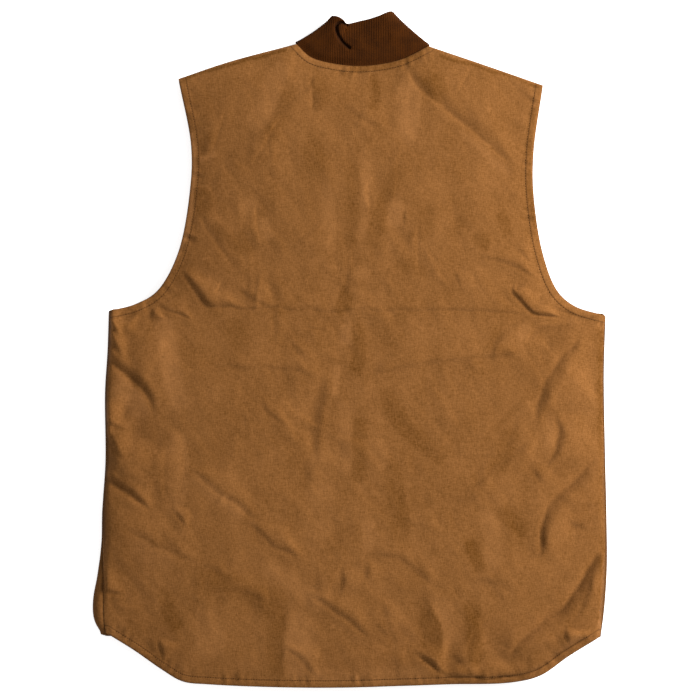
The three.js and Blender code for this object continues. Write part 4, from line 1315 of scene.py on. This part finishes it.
def build_zip_teeth():
    """The zip's chain: one moulded tooth, bevelled, repeated along both tapes in turn."""
    bpy.ops.object.select_all(action="DESELECT")
    bpy.ops.mesh.primitive_cube_add(size=1, location=(0, 0, 0))
    tooth = bpy.context.object
    tooth.name = "zip_teeth"
    tooth.scale = [length * MM for length in TOOTH_SIZE]
    bpy.ops.object.transform_apply(location=False, rotation=False, scale=True)
    bpy.ops.object.mode_set(mode="EDIT")
    bpy.ops.mesh.bevel(offset=TOOTH_BEVEL * MM, segments=1, affect="EDGES")
    bpy.ops.object.mode_set(mode="OBJECT")
    tooth.location = (-TOOTH_OFFSET * MM, (ZIP_BOTTOM + TOOTH_MARGIN) * MM, TOOTH_HEIGHT * MM)
    bpy.ops.object.transform_apply(location=True)
    count = int((ZIP_TOP - ZIP_BOTTOM - 2 * TOOTH_MARGIN) / TOOTH_PITCH)
    for copies, shift in ((2, (2 * TOOTH_OFFSET, TOOTH_PITCH / 2, 0)), (count, (0, TOOTH_PITCH, 0))):
        array = tooth.modifiers.new("row", "ARRAY")
        array.use_relative_offset = False
        array.use_constant_offset = True
        array.constant_offset_displace = [length * MM for length in shift]
        array.count = copies
        bpy.ops.object.modifier_apply(modifier=array.name)
    points = np.array([v.co for v in tooth.data.vertices]) / MM
    tooth.data.vertices.foreach_set("co", (zip_place(points) * MM).ravel())
    tooth.data.update()
    return tooth


# Studio

def studio_floor():
    """Matt white acrylic, lit a little from below, so that the floor stays pale round the vest."""
    colours = bpy.context.scene.vest_colours
    material, tree = new_material("lit acrylic floor")
    place = add_node(tree, "ShaderNodeTexCoord").outputs["Object"]
    clouds = add_node(tree, "ShaderNodeTexNoise", {"Scale": 1 / FLOOR_CLOUD}, {"Vector": place})
    rough = add_node(tree, "ShaderNodeMapRange", {"To Min": 0.85, "To Max": 0.95},
                     {0: clouds.outputs["Fac"]})
    surface = add_node(tree, "ShaderNodeBsdfPrincipled",
                       {"Base Color": opaque(colours.floor), "Emission Color": (1, 1, 1, 1),
                        "Emission Strength": FLOOR_GLOW},
                       {"Roughness": rough.outputs[0]})
    add_node(tree, "ShaderNodeOutputMaterial", (), {"Surface": surface.outputs[0]})
    return material


def build_floor():
    """The pale floor just below the vest."""
    bpy.ops.object.select_all(action="DESELECT")
    bpy.ops.mesh.primitive_plane_add(size=FLOOR_SIZE, location=(0, 0, -FLOOR_DROP))
    floor = bpy.context.object
    floor.name = "floor"
    floor.data.materials.append(studio_floor())


def build_light(scene):
    """Even light from all round, and a soft key light from the upper right."""
    world = bpy.data.worlds.new("studio")
    scene.world = world
    world.use_nodes = True
    world.node_tree.nodes.clear()
    sky = add_node(world.node_tree, "ShaderNodeBackground",
                   {"Color": (1, 1, 1, 1), "Strength": scene.vest_studio.fill})
    add_node(world.node_tree, "ShaderNodeOutputWorld", (), {"Surface": sky.outputs[0]})
    key = bpy.data.lights.new("key", "AREA")
    key.energy = scene.vest_studio.key_power
    key.shape = "RECTANGLE"
    key.size = KEY_SIZE
    key.size_y = KEY_SIZE
    key.color = KEY_TINT
    lamp = bpy.data.objects.new("key", key)
    scene.collection.objects.link(lamp)
    lamp.location = KEY_PLACE
    aim = Vector((0, 0, 0)) - lamp.location
    lamp.rotation_euler = aim.to_track_quat("-Z", "Y").to_euler()


def build_camera(scene):
    """A long lens straight above, so far up that its picture is as wide as the photograph's frame."""
    lens = bpy.data.cameras.new("camera")
    lens.lens = scene.vest_studio.lens
    lens.sensor_width = SENSOR_WIDTH
    lens.clip_end = FARTHEST_VIEW
    camera = bpy.data.objects.new("camera", lens)
    scene.collection.objects.link(camera)
    width = PICTURE_SIDE * POINT_PITCH * MM
    camera.location = (0, 0, width * lens.lens / lens.sensor_width + EDGE_HEIGHT * MM)
    scene.camera = camera


# Operators

class VEST_OT_back(bpy.types.Operator):
    """Build the canvas back panel with its folds and turned edges"""

    bl_idname = "vest.back"
    bl_label = "Back panel"

    def execute(self, context):
        sizes = context.scene.vest_sizes
        back = dress(build_back(sizes), canvas_material(), "back_panel")
        # Spun thread, matt and close to the canvas in colour, so that the rows show as a fine bead
        thread = grained("sewing thread", context.scene.vest_colours.thread,
                         grain=0.8 * MM, roughness=0.9, contrast=0.25, sheen=0.1)
        stitches = dress(build_stitches(sizes), thread)
        return {"FINISHED"}


class VEST_OT_fronts(bpy.types.Operator):
    """Build the two canvas front panels that lie under the back"""

    bl_idname = "vest.fronts"
    bl_label = "Front panels"

    def execute(self, context):
        for name, side, node in (("front_canvas_left", -1, "front_panel_left"),
                                 ("front_canvas_right", 1, "front_panel_right")):
            cloth = build_front(name, side, context.scene.vest_sizes)
            panel = dress(cloth, canvas_material(), node)
        return {"FINISHED"}


class VEST_OT_collar(bpy.types.Operator):
    """Build the rib-knit stand collar"""

    bl_idname = "vest.collar"
    bl_label = "Collar"

    def execute(self, context):
        collar = dress(build_collar(context.scene.vest_sizes), rib_knit(), "collar")
        return {"FINISHED"}


class VEST_OT_zip(bpy.types.Operator):
    """Build the closed front zip under the vest"""

    bl_idname = "vest.zip"
    bl_label = "Front zip"

    def execute(self, context):
        colours = context.scene.vest_colours
        # Close-woven tape, dull and dark, and smooth moulded teeth that catch the light a little
        woven = grained("woven zip tape", colours.tape,
                        grain=1.2 * MM, roughness=0.85, contrast=0.3, sheen=0.5)
        moulded = grained("moulded acetal teeth", colours.teeth,
                          grain=4 * MM, roughness=0.4, contrast=0.1, sheen=0.5)
        tape = dress(build_zip_tape(), woven, "front_zip")
        teeth = dress(build_zip_teeth(), moulded, None)
        return {"FINISHED"}


class VEST_OT_stage(bpy.types.Operator):
    """Set the pale floor, the soft light and the camera straight above"""

    bl_idname = "vest.stage"
    bl_label = "Stage"

    def execute(self, context):
        build_floor()
        build_light(context.scene)
        build_camera(context.scene)
        context.scene.view_settings.view_transform = "Standard"
        return {"FINISHED"}


OPERATORS = (VEST_OT_fronts, VEST_OT_back, VEST_OT_collar, VEST_OT_zip, VEST_OT_stage)


class VEST_PT_panel(bpy.types.Panel):
    """Lists the vest's operators and values"""

    bl_idname = "VEST_PT_panel"
    bl_label = "Canvas vest"
    bl_space_type = "VIEW_3D"
    bl_region_type = "UI"
    bl_category = "Vest"

    def draw(self, context):
        for operator in OPERATORS:
            self.layout.operator(operator.bl_idname)
        for group in (context.scene.vest_sizes, context.scene.vest_colours, context.scene.vest_studio):
            for name in group.__annotations__:
                self.layout.prop(group, name)


CLASSES = (VestSizes, VestColours, VestStudio, *OPERATORS, VEST_PT_panel)


def register():
    """Adds the classes and the scene's groups of values."""
    for item in CLASSES:
        bpy.utils.register_class(item)
    bpy.types.Scene.vest_sizes = PointerProperty(type=VestSizes)
    bpy.types.Scene.vest_colours = PointerProperty(type=VestColours)
    bpy.types.Scene.vest_studio = PointerProperty(type=VestStudio)


def unregister():
    """Takes the scene's groups of values and the classes away."""
    del bpy.types.Scene.vest_studio
    del bpy.types.Scene.vest_colours
    del bpy.types.Scene.vest_sizes
    for item in reversed(CLASSES):
        bpy.utils.unregister_class(item)


def main():
    """Builds every piece in order."""
    register()
    bpy.ops.vest.fronts()
    bpy.ops.vest.back()
    bpy.ops.vest.collar()
    bpy.ops.vest.zip()
    bpy.ops.vest.stage()


if __name__ == "__main__":
    main()
